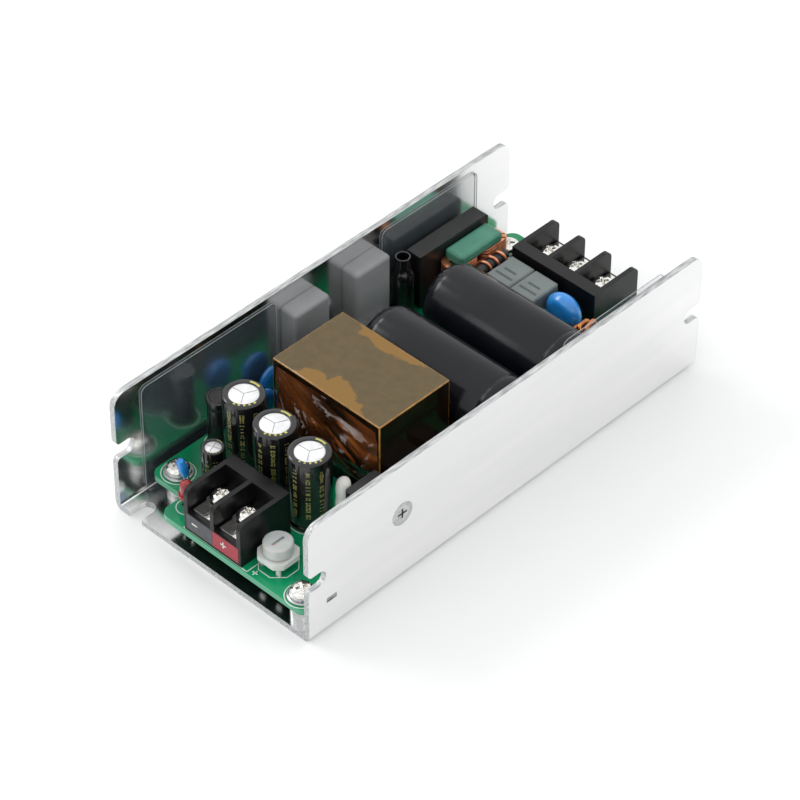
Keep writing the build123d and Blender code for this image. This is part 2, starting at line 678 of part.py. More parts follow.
def output_capacitors():
    """Three output filter capacitors in a staggered row."""
    cans = []
    for n, stagger in enumerate(OUTPUT_CAN_STAGGER):
        x = CANS_START + stagger + OUTPUT_CAN[0] / 2
        y = OUTPUT_CAN_Y + OUTPUT_CAN_PITCH * (1 - n)
        cans.append(upright_capacitor(x, y, OUTPUT_CAN, OUTPUT_CAN_LEADS))
    return cans


def small_capacitor():
    """The small can beside the output block."""
    y = OUTPUT_BLOCK_Y + OUTPUT_BLOCK_HALF + SMALL_CAN_GAP + SMALL_CAN[0] / 2
    x = OUTPUT_BLOCK_BACK - SMALL_CAN[0] / 6
    return upright_capacitor(x, y, SMALL_CAN, SMALL_CAN_LEADS)


def bulk_capacitor(x):
    """A large can lying along Y in its sleeve, with leads bent down at the near end."""
    diameter, length = BULK_CAN
    r = diameter / 2
    z = BOARD_TOP + r
    crimp, deep = BULK_CRIMP
    profile = [
        (0, 0), (r - deep, 0), (r, crimp), (r, length - BULK_ROUND),
        (r - BULK_ROUND_MIDDLE * BULK_ROUND, length - BULK_ROUND_MIDDLE * BULK_ROUND),
        (r - BULK_ROUND, length), (0, length),
    ]
    outline = make_face(Polyline(*[(pr, 0, ph) for pr, ph in profile], close=True))
    can = revolve(outline, Axis.Z)
    start = BULK_Y_END - length
    body = Pos(x, start, z) * Rot(-90, 0, 0) * can
    bend = start - BULK_LEAD_REACH
    for side in (-1, 1):
        px = x + side * BULK_LEADS / 2
        body += along_y(px, (bend, start + 1), z, BULK_LEAD)
        body += lead(px, bend, z + BULK_LEAD / 2, BULK_LEAD)
    return body


def core_half(yoke, inner):
    """Half of the core between its yoke face and the joint at mid height."""
    outline = (around(CORE_X, CORE[0]), around(TRANSFORMER_Y, CORE[1]))
    joint = (CORE_LOW + CORE_HIGH) / 2
    half = block(*outline, sorted((yoke, joint)))
    window = upright(CORE_X, TRANSFORMER_Y, sorted((inner, joint)), CORE_BORE)
    post = upright(CORE_X, TRANSFORMER_Y, sorted((inner, joint)), CORE_POST)
    return half - (window - post)


def transformer_core_lower():
    """The half that stands on the bobbin's base."""
    return core_half(CORE_LOW, WINDOW_Z[0])


def transformer_core_upper():
    """The half that closes the magnetic path from above."""
    return core_half(CORE_HIGH, WINDOW_Z[1])


def bobbin_tube():
    """Inner and outer diameter of the bobbin's tube round the centre post."""
    inner = CORE_POST + 2 * BOBBIN_CLEARANCE
    return inner, inner + 2 * BOBBIN_WALL


def coil_span():
    """Height span of the wire, between the bobbin's flanges."""
    inset = BOBBIN_CLEARANCE + BOBBIN_WALL
    return WINDOW_Z[0] + inset, WINDOW_Z[1] - inset


def bobbin_cheeks(grow=0.0):
    """The two plates that join the pin base to the lower flange, past the yoke's sides."""
    width, thick = BOBBIN_CHEEK
    low, high = BOARD_TOP, coil_span()[0]
    start = CORE[0] / 2 + BOBBIN_CLEARANCE - grow
    plates = []
    for side in (-1, 1):
        x = sorted((CORE_X + side * start, CORE_X + side * (start + thick + 2 * grow)))
        plates.append(block(x, around(TRANSFORMER_Y, width + 2 * grow), (low, high + grow)))
    return plates[0] + plates[1]


def transformer_bobbin():
    """The moulded bobbin: pin base, cheeks, flanges and the tube round the post."""
    inner, outer = bobbin_tube()
    base_x = CORE[0] + 2 * (BOBBIN_CLEARANCE + BOBBIN_CHEEK[1])
    base_y = CORE[1] - 2 * BOBBIN_BASE_INSET
    base = block(around(CORE_X, base_x), around(TRANSFORMER_Y, base_y), (BOARD_TOP, CORE_LOW))
    body = base + bobbin_cheeks()
    coil = coil_span()
    for z in ((WINDOW_Z[0] + BOBBIN_CLEARANCE, coil[0]), (coil[1], WINDOW_Z[1] - BOBBIN_CLEARANCE)):
        body += upright(CORE_X, TRANSFORMER_Y, z, COIL)
    body += upright(CORE_X, TRANSFORMER_Y, coil, outer)
    tube = (WINDOW_Z[0], WINDOW_Z[1] + 1)
    body -= upright(CORE_X, TRANSFORMER_Y, tube, inner)
    rows, length = TRANSFORMER_PIN_SPAN
    pin = (TRANSFORMER_PIN, TRANSFORMER_PIN)
    for side in (-1, 1):
        for n in range(TRANSFORMER_PINS):
            along = n / (TRANSFORMER_PINS - 1) - 0.5
            x = CORE_X + side * rows / 2
            body += flat_lead(x, TRANSFORMER_Y + along * length, BOARD_TOP + BOBBIN_BASE / 2, pin)
    return body


def transformer_winding():
    """The wire wound on the bobbin's tube."""
    coil = coil_span()
    wire = upright(CORE_X, TRANSFORMER_Y, coil, COIL)
    return wire - upright(CORE_X, TRANSFORMER_Y, coil, bobbin_tube()[1])


def transformer_tape():
    """The cap of tape over the core, swelling where the coil stands out at front and back."""
    inner = block(around(CORE_X, CORE[0]), around(TRANSFORMER_Y, CORE[1]), (CORE_LOW, CORE_HIGH))
    x, y = around(CORE_X, CORE[0] + 2 * TAPE), around(TRANSFORMER_Y, CORE[1] + 2 * TAPE)
    outer = block(x, y, (CORE_LOW, CORE_HIGH + TAPE))
    corners = [e for e in outer.edges() if e.center().Z > CORE_LOW + 1]
    outer = fillet(corners, TAPE)
    coil = (WINDOW_Z[0] + BOBBIN_CLEARANCE, WINDOW_Z[1] - BOBBIN_CLEARANCE)
    inner += upright(CORE_X, TRANSFORMER_Y, coil, COIL + 2 * COIL_SLACK)
    outer += upright(CORE_X, TRANSFORMER_Y, (coil[0] - TAPE, coil[1] + TAPE), COIL + 2 * TAPE)
    return outer - inner - bobbin_cheeks(BOBBIN_CLEARANCE)


def rubber_cap_spans(x):
    """Outer spans of a rubber cap that presses on the far wall."""
    width, thick, height = RUBBER_CAP
    low = BOARD_TOP + TRANSISTOR_LIFT
    return around(x, width), (FAR - thick, FAR), (low, low + height)


def rubber_cap(x):
    """A rubber cap, open below, over a transistor."""
    spans = rubber_cap_spans(x)
    cap = block(*spans)
    front = [e for e in cap.edges() if e.center().Y < FAR - 0.1 and e.center().Z > spans[2][0] + 0.1]
    cap = fillet(front, RUBBER_ROUND)
    width, thick, height = TRANSISTOR
    inside = FAR - RUBBER_WALL
    return cap - block(around(x, width), (inside - thick, inside), (spans[2][0] - 1, spans[2][0] + height))


def power_transistor(x):
    """A transistor in its package, with three flat leads."""
    width, thick, height = TRANSISTOR
    low = BOARD_TOP + TRANSISTOR_LIFT
    back = FAR - RUBBER_WALL
    body = block(around(x, width), (back - thick, back), (low, low + height))
    for n in (-1, 0, 1):
        y = back - thick / 2 - TRANSISTOR_LEAD_OFFSET
        body += flat_lead(x + n * TRANSISTOR_PITCH, y, low + LEAD_ROOT, FLAT_LEAD)
    return body


def clamp_bar():
    """The steel bar that presses both rubber caps to the far wall."""
    length, thick, height = CLAMP_BAR
    y = FAR - RUBBER_CAP[1]
    bar = block(around(CLAMP_X, length), (y - thick, y), around(CLAMP_Z, height))
    bar = fillet(bar.edges().filter_by(Axis.Y), height / 5)
    return bar - along_y(CLAMP_X, (y - thick - 1, y + 1), CLAMP_Z, THREAD)


def wall_screws():
    """Countersunk screws: one through the rectifier, one into the clamp bar."""
    group = []
    lengths = (SHEET + RECTIFIER_TOP[1] + NUT[1], SHEET + RUBBER_CAP[1] + CLAMP_BAR[1])
    for (x, z, side), length in zip(wall_screw_places(), lengths):
        screw = countersunk(x, z, side, -THREAD_CLEARANCE, length)
        recess = Rot(-90 * side, 0, 0) * cross_recess(0, 0, 0)
        group.append(screw - Pos(x, side * WIDTH / 2, z) * recess)
    return group


def output_rectifier():
    """The moulded rectifier on the near wall, its leads bent forward and down."""
    width, thick, height = RECTIFIER
    top_height, top_thick = RECTIFIER_TOP
    low = BOARD_TOP + RECTIFIER_LIFT
    body = block(around(RECTIFIER_X, width), (NEAR, NEAR + thick), (low, low + height))
    step_z = (low + height - top_height, low + height + 1)
    body -= block(around(RECTIFIER_X, width + 1), (NEAR + top_thick, NEAR + thick + 1), step_z)
    body -= along_y(RECTIFIER_X, (NEAR - 1, NEAR + thick + 1), RECTIFIER_SCREW_Z, SCREW_HOLE)
    for n in (-1, 0, 1):
        y = NEAR + thick - RECTIFIER_LEAD_SETBACK
        body += flat_lead(RECTIFIER_X + n * TRANSISTOR_PITCH, y, low + LEAD_ROOT, FLAT_LEAD)
    return body


def rectifier_nut():
    """The nut inside, on the rectifier's step."""
    across, height = NUT
    y = NEAR + RECTIFIER_TOP[1]
    prism = extrude(RegularPolygon(across / 2, 6, major_radius=False), height)
    nut = Pos(RECTIFIER_X, y + height, RECTIFIER_SCREW_Z) * Rot(90, 0, 0) * prism
    return nut - along_y(RECTIFIER_X, (y - 1, y + height + 1), RECTIFIER_SCREW_Z, THREAD)


def output_choke_spans():
    """Outer spans of the moulded output choke."""
    length, width, height = OUTPUT_CHOKE
    y = NEAR + OUTPUT_CHOKE_WALL_GAP
    return around(RECTIFIER_X, length), (y, y + width), (BOARD_TOP, BOARD_TOP + height)


def output_choke():
    """A moulded choke between the rectifier and the third output capacitor."""
    spans = output_choke_spans()
    body = block(*spans)
    body = chamfer(body.edges().filter_by(Axis.Z), OUTPUT_CHOKE_EDGE)
    for side in (-1, 1):
        x = RECTIFIER_X + side * OUTPUT_CHOKE_LEADS / 2
        body += lead(x, sum(spans[1]) / 2, BOARD_TOP + LEAD_ROOT)
    return body


def silicone_bead():
    """The run of white sealant between the third capacitor and the choke."""
    spans = output_choke_spans()
    x = CANS_START + OUTPUT_CAN[0] / 2 + SEALANT_SHIFT
    y = spans[1][1] + SEALANT_RADIUS + SEALANT_GAP
    slope = [(SEALANT_RADIUS * out, SEALANT_HEIGHT * up) for out, up in SEALANT_TAPER]
    return turned([(0, 0), *slope, (0, SEALANT_HEIGHT)], x, y, BOARD_TOP)


def trimmer_base():
    """The trimmer's octagonal plate on its three legs."""
    x, y = TRIM_PLACE
    across, thick = TRIM_BASE
    low = BOARD_TOP + TRIM_LIFT
    plate = block(around(x, across), around(y, across), (low, low + thick))
    plate = chamfer(plate.edges().filter_by(Axis.Z), TRIM_CORNER)
    plate -= upright(x, y, (low - 1, low + thick + 1), TRIM_SPIGOT + 2 * TRIM_SPIGOT_CLEARANCE)
    for along, across in ((-1, -1), (-1, 1), (1, 0)):
        leg = (x + along * TRIM_LEG_OFFSET, y + across * TRIM_LEG_OFFSET)
        plate += flat_lead(*leg, low + thick / 2, TRIM_LEG, 90)
    return plate


def trimmer_rotor():
    """The turning knob with its driver slot and the riveted spigot that holds it."""
    x, y = TRIM_PLACE
    r, height = TRIM_ROTOR[0] / 2, TRIM_ROTOR[1]
    spigot = TRIM_SPIGOT / 2
    flare, thin = TRIM_FLARE
    base_low = BOARD_TOP + TRIM_LIFT
    low = base_low + TRIM_BASE[1] + TRIM_RUNNING_GAP
    drop = low - base_low + TRIM_SPIGOT_CLEARANCE
    profile = [
        (0, height), (r - TRIM_EDGE, height), (r, height - TRIM_EDGE), (r, 0), (spigot, 0), (spigot, -drop),
        (flare / 2, -drop), (flare / 2, -drop - thin), (0, -drop - thin),
    ]
    rotor = turned(profile, x, y, low)
    length, width, deep = TRIM_SLOT
    return rotor - block(around(x, length), around(y, width), (low + height - deep, low + height + 1))


def status_led():
    """A round LED standing on its leads beside the output block."""
    x = FRONT + LED_FROM_FRONT
    y = OUTPUT_BLOCK_Y + OUTPUT_BLOCK_HALF + LED_FROM_BLOCK
    r = LED_DIAMETER / 2
    rim, rim_height = LED_RIM
    low = BOARD_TOP + LED_LIFT
    lens = upright(x, y, (low, low + LED_BODY - r), LED_DIAMETER)
    lens += upright(x, y, (low, low + rim_height), rim)
    lens += Pos(x, y, low + LED_BODY - r) * Sphere(r)
    for side in (-1, 1):
        lens += lead(x, y + side * LED_LEADS / 2, low + rim_height, LED_LEAD)
    return lens


def bead_capacitor():
    """The small dipped capacitor on the board's ear."""
    r, height = BEAD_CAP[0] / 2, BEAD_CAP[1]
    x = CORNER_SCREWS[0][0] - BEAD_CAP_OFFSET[0]
    y = CORNER_SCREWS[0][1] - WASHER[0] / 2 - BEAD_CAP_OFFSET[1]
    low = BOARD_TOP + BEAD_CAP_LIFT
    profile = [
        (0, 0), (0.6 * r, 0), (r, 0.4 * r), (r, height - 0.8 * r), (0.7 * r, height - 0.2 * r), (0, height),
    ]
    body = turned(profile, x, y, low)
    for side in (-1, 1):
        body += lead(x, y + side * BEAD_CAP_LEADS / 2, low + r)
    return body


def bridge_rectifier():
    """The flat bridge rectifier standing on four leads, one corner cut."""
    length, thick, height = BRIDGE
    low = BOARD_TOP + BRIDGE_LIFT
    x = around(BRIDGE_X, length)
    body = block(x, around(BRIDGE_Y, thick), (low, low + height))
    corner = [e for e in body.edges().filter_by(Axis.Y) if e.center().X > x[1] - 1 and e.center().Z > low + 1]
    body = chamfer(corner, BRIDGE_CORNER)
    body -= along_y(BRIDGE_X, around(BRIDGE_Y, thick + 2), low + BRIDGE_HOLE_LIFT, SCREW_HOLE)
    for n in range(BRIDGE_LEADS):
        px = BRIDGE_X + BRIDGE_LEAD_SPAN * (n / (BRIDGE_LEADS - 1) - 0.5)
        body += flat_lead(px, BRIDGE_Y, low + LEAD_ROOT, FLAT_LEAD)
    return body


def fuse_place():
    """Axis of the standing fuse, just before the bridge rectifier."""
    outer = FUSE[0] / 2 + FUSE_SLEEVE
    return BRIDGE_X - BRIDGE[0] / 2 - outer - FUSE_GAP, BRIDGE_Y + FUSE_OFFSET


def input_fuse():
    """The fuse body with two leads."""
    x, y = fuse_place()
    diameter, height = FUSE
    low = BOARD_TOP + FUSE_LIFT
    body = upright(x, y, (low, low + height), diameter)
    for side in (-1, 1):
        body += lead(x + side * FUSE_LEADS / 2, y, low + LEAD_ROOT)
    return body


def fuse_sleeve():
    """The shrunk sleeve over the fuse, open at its narrow neck."""
    x, y = fuse_place()
    inner = FUSE[0] / 2
    outer = inner + FUSE_SLEEVE
    neck, neck_height = FUSE_NECK
    shoulder = FUSE_LIFT + FUSE[1]
    top = shoulder + FUSE_SHOULDER + neck_height
    bore = neck / 2 - FUSE_SLEEVE
    profile = [
        (inner, 0), (outer, 0), (outer, shoulder), (neck / 2, shoulder + FUSE_SHOULDER), (neck / 2, top),
        (bore, top), (bore, shoulder + FUSE_SHOULDER), (inner, shoulder),
    ]
    return turned(profile, x, y, BOARD_TOP)


def choke_place():
    """X middle, Y middle and foot height of the ring choke."""
    y = BRIDGE_Y - BRIDGE[1] / 2 - CHOKE_GAP - CHOKE_COIL_BULGE[1] - CHOKE_RING[1] / 2
    return BRIDGE_X + CHOKE_SHIFT, y, BOARD_TOP + CHOKE_LIFT


def ring_choke_core():
    """The coated square ring on its lower yoke, its legs narrower than the yokes."""
    x, y, low = choke_place()
    length, thick, height = CHOKE_RING
    ring = block(around(x, length), around(y, thick), (low, low + height))
    ring = chamfer(ring.edges(), CHOKE_EDGE)
    window, tall = CHOKE_WINDOW
    between = around(low + height / 2, tall)
    waist = block(around(x, length + 2), around(y, thick + 2), between)
    legs = block(around(x, length), around(y, CHOKE_LEG_DEPTH), between)
    return ring - (waist - legs) - block(around(x, window), around(y, thick + 2), between)


def ring_choke_windings():
    """Edge-wound flat copper, one coil on each upright leg."""
    x, y, low = choke_place()
    length, thick, height = CHOKE_RING
    window, tall = CHOKE_WINDOW
    leg = (length - window) / 2
    reach, bulge = CHOKE_COIL_BULGE
    bottom = low + height / 2 - tall / 2 + CHOKE_COIL_END
    top = low + height / 2 + tall / 2 - CHOKE_COIL_END
    step = (top - bottom + CHOKE_TURN_GAP) / CHOKE_COIL_TURNS
    coils = []
    for side in (-1, 1):
        edge = x + side * length / 2
        span = sorted((edge + side * reach, x + side * CHOKE_COIL_GAP / 2))
        coil = block(span, around(y, thick + 2 * bulge), (bottom, top))
        coil = fillet(coil.edges().filter_by(Axis.Z), CHOKE_COIL_CORNER)
        for n in range(1, CHOKE_COIL_TURNS):
            z = bottom + n * step - CHOKE_TURN_GAP
            rim = block((span[0] - 1, span[1] + 1), around(y, thick + 2 * bulge + 2), (z, z + CHOKE_TURN_GAP))
            inside = (span[0] + CHOKE_GROOVE, span[1] - CHOKE_GROOVE)
            core = block(inside, around(y, thick + 2 * (bulge - CHOKE_GROOVE)), (z - 1, z + 1))
            coil -= rim - core
        leg_span = sorted((edge, edge - side * leg))
        coil -= block(leg_span, around(y, CHOKE_LEG_DEPTH), (bottom - 1, top + 1))
        for way in (-1, 1):
            coil += lead(edge + side * reach / 2, y + way * (thick / 2 - CHOKE_LEAD_INSET), bottom + LEAD)
        coils.append(coil)
    return coils


def rod_choke_place():
    """Start and end in X, Y, and axis height of the rod choke."""
    y = choke_place()[1] - CHOKE_RING[1] / 2 - CHOKE_COIL_BULGE[1] - ROD_GAP - ROD_WIRE - ROD[0] / 2
    start = BULK_START + 2 * BULK_CAN[0] + GAP_BULK + ROD_FROM_BULK
    return (start, start + ROD[1]), y, BOARD_TOP + ROD_HEIGHT


def rod_choke_core():
    """The ferrite rod."""
    span, y, z = rod_choke_place()
    rod = along_x(span, y, z, ROD[0])
    return chamfer(rod.edges().filter_by(GeomType.CIRCLE), ROD_EDGE)


def rod_choke_winding():
    """Spaced turns of thick wire on the rod, with a leg down at each end."""
    span, y, z = rod_choke_place()
    inner = ROD[0] / 2
    outer = inner + ROD_WIRE
    ends = (span[0] + ROD_END, span[1] - ROD_END)
    bar_z = z - inner - ROD_WIRE / 2
    wire = block(ends, around(y, ROD_WIRE), around(bar_z, ROD_WIRE))
    for n in range(ROD_TURNS):
        x = ends[0] + n * (ends[1] - ends[0]) / (ROD_TURNS - 1)
        turn = along_x(around(x, ROD_WIRE), y, z, 2 * outer)
        wire += turn - along_x(around(x, ROD_WIRE + 2), y, z, 2 * inner)
    for x in ends:
        wire += lead(x, y, bar_z, ROD_WIRE)
    return wire


def film_capacitor(n):
    """A boxed film capacitor."""
    length, width, height = FILM_CAP
    y = FILM_CAP_Y + (n - 0.5) * (width + FILM_CAP_GAP)
    x = FILM_START + length / 2
    body = block(around(x, length), around(y, width), (BOARD_TOP, BOARD_TOP + height))
    rounded = [e for e in body.edges() if e.center().Z > BOARD_TOP + 0.1]
    body = chamfer(rounded, FILM_CAP_EDGE)
    for side in (-1, 1):
        body += lead(x + side * FILM_CAP_LEADS / 2, y, BOARD_TOP + LEAD_ROOT)
    return body


def dipped_disc(x, y, size, lift, axis):
    """A dipped disc part standing on two leads, its flat faces along the given axis."""
    diameter, thick = size
    r = diameter / 2
    z = BOARD_TOP + lift + r
    turn = Rot(90, 0, 0) if axis == "Y" else Rot(0, 90, 0)
    half = thick / 2
    flat, shoulder, rise = (share * half for share in DISC_EDGE)
    profile = [
        (0, -half), (r - flat, -half), (r - shoulder, -rise), (r, 0),
        (r - shoulder, rise), (r - flat, half), (0, half),
    ]
    body = Pos(x, y, z) * turn * turned(profile, 0, 0, 0)
    for side in (-1, 1):
        px = x + side * DISC_LEADS / 2 if axis == "Y" else x
        py = y if axis == "Y" else y + side * DISC_LEADS / 2
        body += lead(px, py, z - r * DISC_LEAD_ROOT)
    return body


def varistor():
    """The surge absorber beside the input block."""
    return dipped_disc(FILM_START + VARISTOR_SHIFT, VARISTOR_Y, VARISTOR, VARISTOR_LIFT, "X")


def disc_capacitors():
    """Two dipped disc capacitors by the far wall, before the first transistor."""
    places = (
        (CORE_START + FIRST_DISC_SHIFT, FAR - FIRST_DISC_FROM_WALL),
        (TRANSISTOR_X[0] - SECOND_DISC_SHIFT, FAR - SECOND_DISC_FROM_WALL),
    )
    return [dipped_disc(x, y, DISC, DISC_LIFT, "Y") for x, y in places]


def toroid_place():
    """Centre of the upright toroid choke."""
    return FILM_START + TOROID_SHIFT, TOROID_Y, BOARD_TOP + TOROID[0] / 2 + TOROID_WIRE


def toroid_core():
    """The ring core of the toroid choke."""
    x, y, z = toroid_place()
    ring, thick, inner = TOROID
    core = along_x(around(x, thick - 2 * TOROID_WIRE), y, z, ring)
    return core - along_x(around(x, thick + 2), y, z, inner + 2 * TOROID_WIRE)


def toroid_winding():
    """Wire wound round the ring core, grooved between the turns."""
    x, y, z = toroid_place()
    ring, thick, inner = TOROID
    outer = ring + 2 * TOROID_WIRE
    coil = along_x(around(x, thick), y, z, outer)
    coil = chamfer(coil.edges().filter_by(GeomType.CIRCLE), TOROID_EDGE)
    coil -= along_x(around(x, thick + 2), y, z, inner)
    coil -= along_x(around(x, thick - 2 * TOROID_WIRE), y, z, ring) - along_x(
        around(x, thick), y, z, inner + 2 * TOROID_WIRE
    )
    for n in range(TOROID_TURNS):
        groove = Pos(0, 0, outer / 2) * Rot(45, 0, 0) * Box(thick + 2, TOROID_GROOVE, TOROID_GROOVE)
        coil -= Pos(x, y, z) * Rot(360 * (n + 0.5) / TOROID_TURNS, 0, 0) * groove
    for side in (-1, 1):
        coil += lead(x, y + side * TOROID_LEADS[0] / 2, z - outer / 2 + TOROID_LEADS[1])
    return coil


def drum_choke():
    """A sleeved drum choke standing at the far wall."""
    diameter, height = DRUM
    deep, rim = DRUM_FLANGE
    r = diameter / 2
    profile = [
        (0, 0), (r, 0), (r, rim), (r - deep, rim + deep), (r - deep, height - rim - deep), (r, height - rim),
        (r, height - DRUM_EDGE), (r - DRUM_EDGE, height), (0, height),
    ]
    x = CANS_START + max(OUTPUT_CAN_STAGGER) + OUTPUT_CAN[0] / 2 + DRUM_SHIFT
    body = turned(profile, x, DRUM_Y, BOARD_TOP)
    for side in (-1, 1):
        body += lead(x, DRUM_Y + side * DRUM_LEADS / 2, BOARD_TOP + LEAD_ROOT)
    return body


def dual_in_line(x, y, size, pins):
    """A moulded chip with a row of bent pins on each side."""
    length, width, height = size
    low = BOARD_TOP + DIP_LIFT
    body = block(around(x, length), around(y, width), (low, low + height))
    body = chamfer(body.edges().filter_by(Axis.X), DIP_EDGE)
    shoulder = low + height / 2
    pin_thick = DIP_PIN[1]
    wide, root = DIP_SHOULDER
    for side in (-1, 1):
        py = y + side * DIP_ROW / 2
        for n in range(pins):
            px = x + (n - (pins - 1) / 2) * TRANSISTOR_PITCH
            arm = sorted((y + side * (width / 2 - root), py + side * pin_thick / 2))
            body += block(around(px, wide), arm, around(shoulder, pin_thick))
            body += flat_lead(px, py, shoulder, DIP_PIN)
    return body


def pwm_controller():
    """The control chip in the space before the near wall."""
    return dual_in_line(CORE_X + CONTROLLER_SHIFT, NEAR + CONTROL_FROM_WALL, CONTROLLER, CONTROLLER_PINS)


def optocoupler():
    """The feedback coupler beside the control chip."""
    x = CORE_END - OPTOCOUPLER[0] / 2 + OPTOCOUPLER_SHIFT
    return dual_in_line(x, NEAR + CONTROL_FROM_WALL, OPTOCOUPLER, OPTOCOUPLER_PINS)


def load_resistor():
    """A resistor lying along Y, its leads bent down at both ends."""
    diameter, length = RESISTOR
    x = CORE_START + diameter / 2 - RESISTOR_SHIFT
    y = NEAR + CONTROL_FROM_WALL
    z = BOARD_TOP + RESISTOR_LIFT + diameter / 2
    body = along_y(x, around(y, length), z, diameter)
    body = chamfer(body.edges().filter_by(GeomType.CIRCLE), diameter / 6)
    for side in (-1, 1):
        end = y + side * (length / 2 + RESISTOR_REACH)
        body += along_y(x, sorted((y, end)), z, LEAD)
        body += lead(x, end, z + LEAD / 2)
    return body


def parts():
    """Every node's name with its solid or group of solids."""
    nodes = {}
    for name, back, toward, y, poles in (
        ("output", OUTPUT_BLOCK_BACK, -1, OUTPUT_BLOCK_Y, OUTPUT_POLES),
        ("input", INPUT_BLOCK_BACK, 1, INPUT_BLOCK_Y, INPUT_POLES),
    ):
        nodes[f"{name}_terminal_block"] = terminal_housing(back, toward, y, poles)
        nodes[f"{name}_terminal_strips"] = terminal_strips(back, toward, y, poles)
        nodes[f"{name}_clamp_plates"] = clamp_plates(back, toward, y, poles)
        nodes[f"{name}_terminal_screws"] = terminal_screws(back, toward, y, poles)
    for n, can in enumerate(output_capacitors()):
        nodes[f"output_capacitor_{n + 1}"] = can
    for n, x in enumerate(BULK_X):
        nodes[f"bulk_capacitor_{n + 1}"] = bulk_capacitor(x)
    for n, x in enumerate(TRANSISTOR_X):
        nodes[f"power_transistor_{n + 1}"] = power_transistor(x)
        nodes[f"rubber_cap_{n + 1}"] = rubber_cap(x)
    for n in range(2):
        nodes[f"film_capacitor_{n + 1}"] = film_capacitor(n)
    for n, disc in enumerate(disc_capacitors()):
        nodes[f"disc_capacitor_{n + 1}"] = disc
    singles = (
        small_capacitor, transformer_core_lower, transformer_core_upper, transformer_bobbin,
        transformer_winding, transformer_tape, clamp_bar, wall_screws, output_rectifier,
        rectifier_nut, output_choke, silicone_bead, trimmer_base, trimmer_rotor, status_led,
        bead_capacitor, bridge_rectifier, input_fuse, fuse_sleeve, ring_choke_core,
        ring_choke_windings, rod_choke_core, rod_choke_winding, varistor, toroid_core,
        toroid_winding, drum_choke, pwm_controller, optocoupler, load_resistor, chassis,
        insulation_film, standoffs, board_washers, board_screws, circuit_board,
    )
    for make in singles:
        nodes[make.__name__] = make()
    return nodes


def write(nodes):
    """Write one STEP file for each node."""
    os.makedirs("parts", exist_ok=True)
    for name, shape in nodes.items():
        solids = shape if isinstance(shape, list) else shape.solids()
        label = solids[0] if len(solids) == 1 else Compound(children=list(solids))
        export_step(label, f"parts/{name}.step")


write(parts())
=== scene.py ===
"""Open-frame power supply in a folded channel: finishes, fine pieces, light and camera."""

from __future__ import annotations

import json
import logging
import math
import random
from dataclasses import dataclass, field
from enum import Enum
from typing import Sequence

import bmesh
import bpy
from mathutils import Matrix, Vector, noise

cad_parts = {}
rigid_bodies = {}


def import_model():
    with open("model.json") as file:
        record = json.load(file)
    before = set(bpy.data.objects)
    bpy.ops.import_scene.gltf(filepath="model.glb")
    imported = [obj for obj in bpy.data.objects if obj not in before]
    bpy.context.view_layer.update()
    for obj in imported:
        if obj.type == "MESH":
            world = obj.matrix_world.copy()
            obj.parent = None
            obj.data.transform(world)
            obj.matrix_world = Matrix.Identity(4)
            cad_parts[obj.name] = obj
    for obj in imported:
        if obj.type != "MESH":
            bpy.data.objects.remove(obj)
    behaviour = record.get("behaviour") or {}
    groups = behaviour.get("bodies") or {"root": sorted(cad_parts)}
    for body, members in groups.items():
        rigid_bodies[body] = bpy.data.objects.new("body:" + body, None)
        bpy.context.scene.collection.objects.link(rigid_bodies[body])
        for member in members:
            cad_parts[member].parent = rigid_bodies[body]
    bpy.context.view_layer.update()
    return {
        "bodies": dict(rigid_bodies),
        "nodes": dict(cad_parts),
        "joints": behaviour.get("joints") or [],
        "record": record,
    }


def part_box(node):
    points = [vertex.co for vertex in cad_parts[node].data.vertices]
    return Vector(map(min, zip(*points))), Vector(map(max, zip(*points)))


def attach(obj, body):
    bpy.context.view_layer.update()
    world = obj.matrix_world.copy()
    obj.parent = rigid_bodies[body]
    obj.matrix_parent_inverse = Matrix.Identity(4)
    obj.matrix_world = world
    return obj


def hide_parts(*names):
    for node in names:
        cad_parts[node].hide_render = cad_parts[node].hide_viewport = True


MM = 0.001
METRE = 1000.0
LOG = logging.getLogger("power_supply")

# Numbers of the Mix node's colour sockets, because it has several sockets of each name
MIX_FIRST, MIX_SECOND, MIX_RESULT = 6, 7, 2
# Vertices nearer than this are one, in millimetres: in a spun form, in a wire and in a CAD solid
WELD, WIRE_WELD, SOLID_WELD = 1e-4, 1e-5, 0.002
# The most of a side that the rounding of one corner takes
CORNER_SHARE = 0.48
# How far printing ink stands off a sleeve, in millimetres
INK_LIFT = 0.03
# How far a lead reaches up into the part that it carries, in millimetres
BURY = 0.5

Pair = tuple[float, float]
Point = tuple[float, float, float]
Colour = tuple[float, float, float, float]
Tree = bpy.types.NodeTree
Socket = bpy.types.NodeSocket
Part = bmesh.types.BMesh


def linear(code: str) -> Colour:
    """Turn an sRGB hex colour into linear light.

    Args:
        code: Colour written as #rrggbb.

    Returns:
        Red, green, blue and an alpha of one.
    """
    channels = [int(code[start:start + 2], 16) / 255 for start in (1, 3, 5)]
    red, green, blue = (c / 12.92 if c <= 0.04045 else ((c + 0.055) / 1.055) ** 2.4 for c in channels)
    return red, green, blue, 1.0


def add_node(tree: Tree, kind: str, settings: dict | None = None) -> bpy.types.Node:
    """Add one node with its settings and its incoming links.

    Args:
        tree: Node tree that the node joins.
        kind: Blender's name of the node type.
        settings: For each input, by name or number, a source socket, a value or a hex colour,
            and other attributes by name.

    Returns:
        The new node.
    """
    node = tree.nodes.new(kind)
    for key, value in (settings or {}).items():
        if isinstance(value, bpy.types.NodeSocket):
            tree.links.new(value, node.inputs[key])
        elif isinstance(key, int) or key in node.inputs:
            node.inputs[key].default_value = linear(value) if isinstance(value, str) else value
        else:
            setattr(node, key, value)
    return node


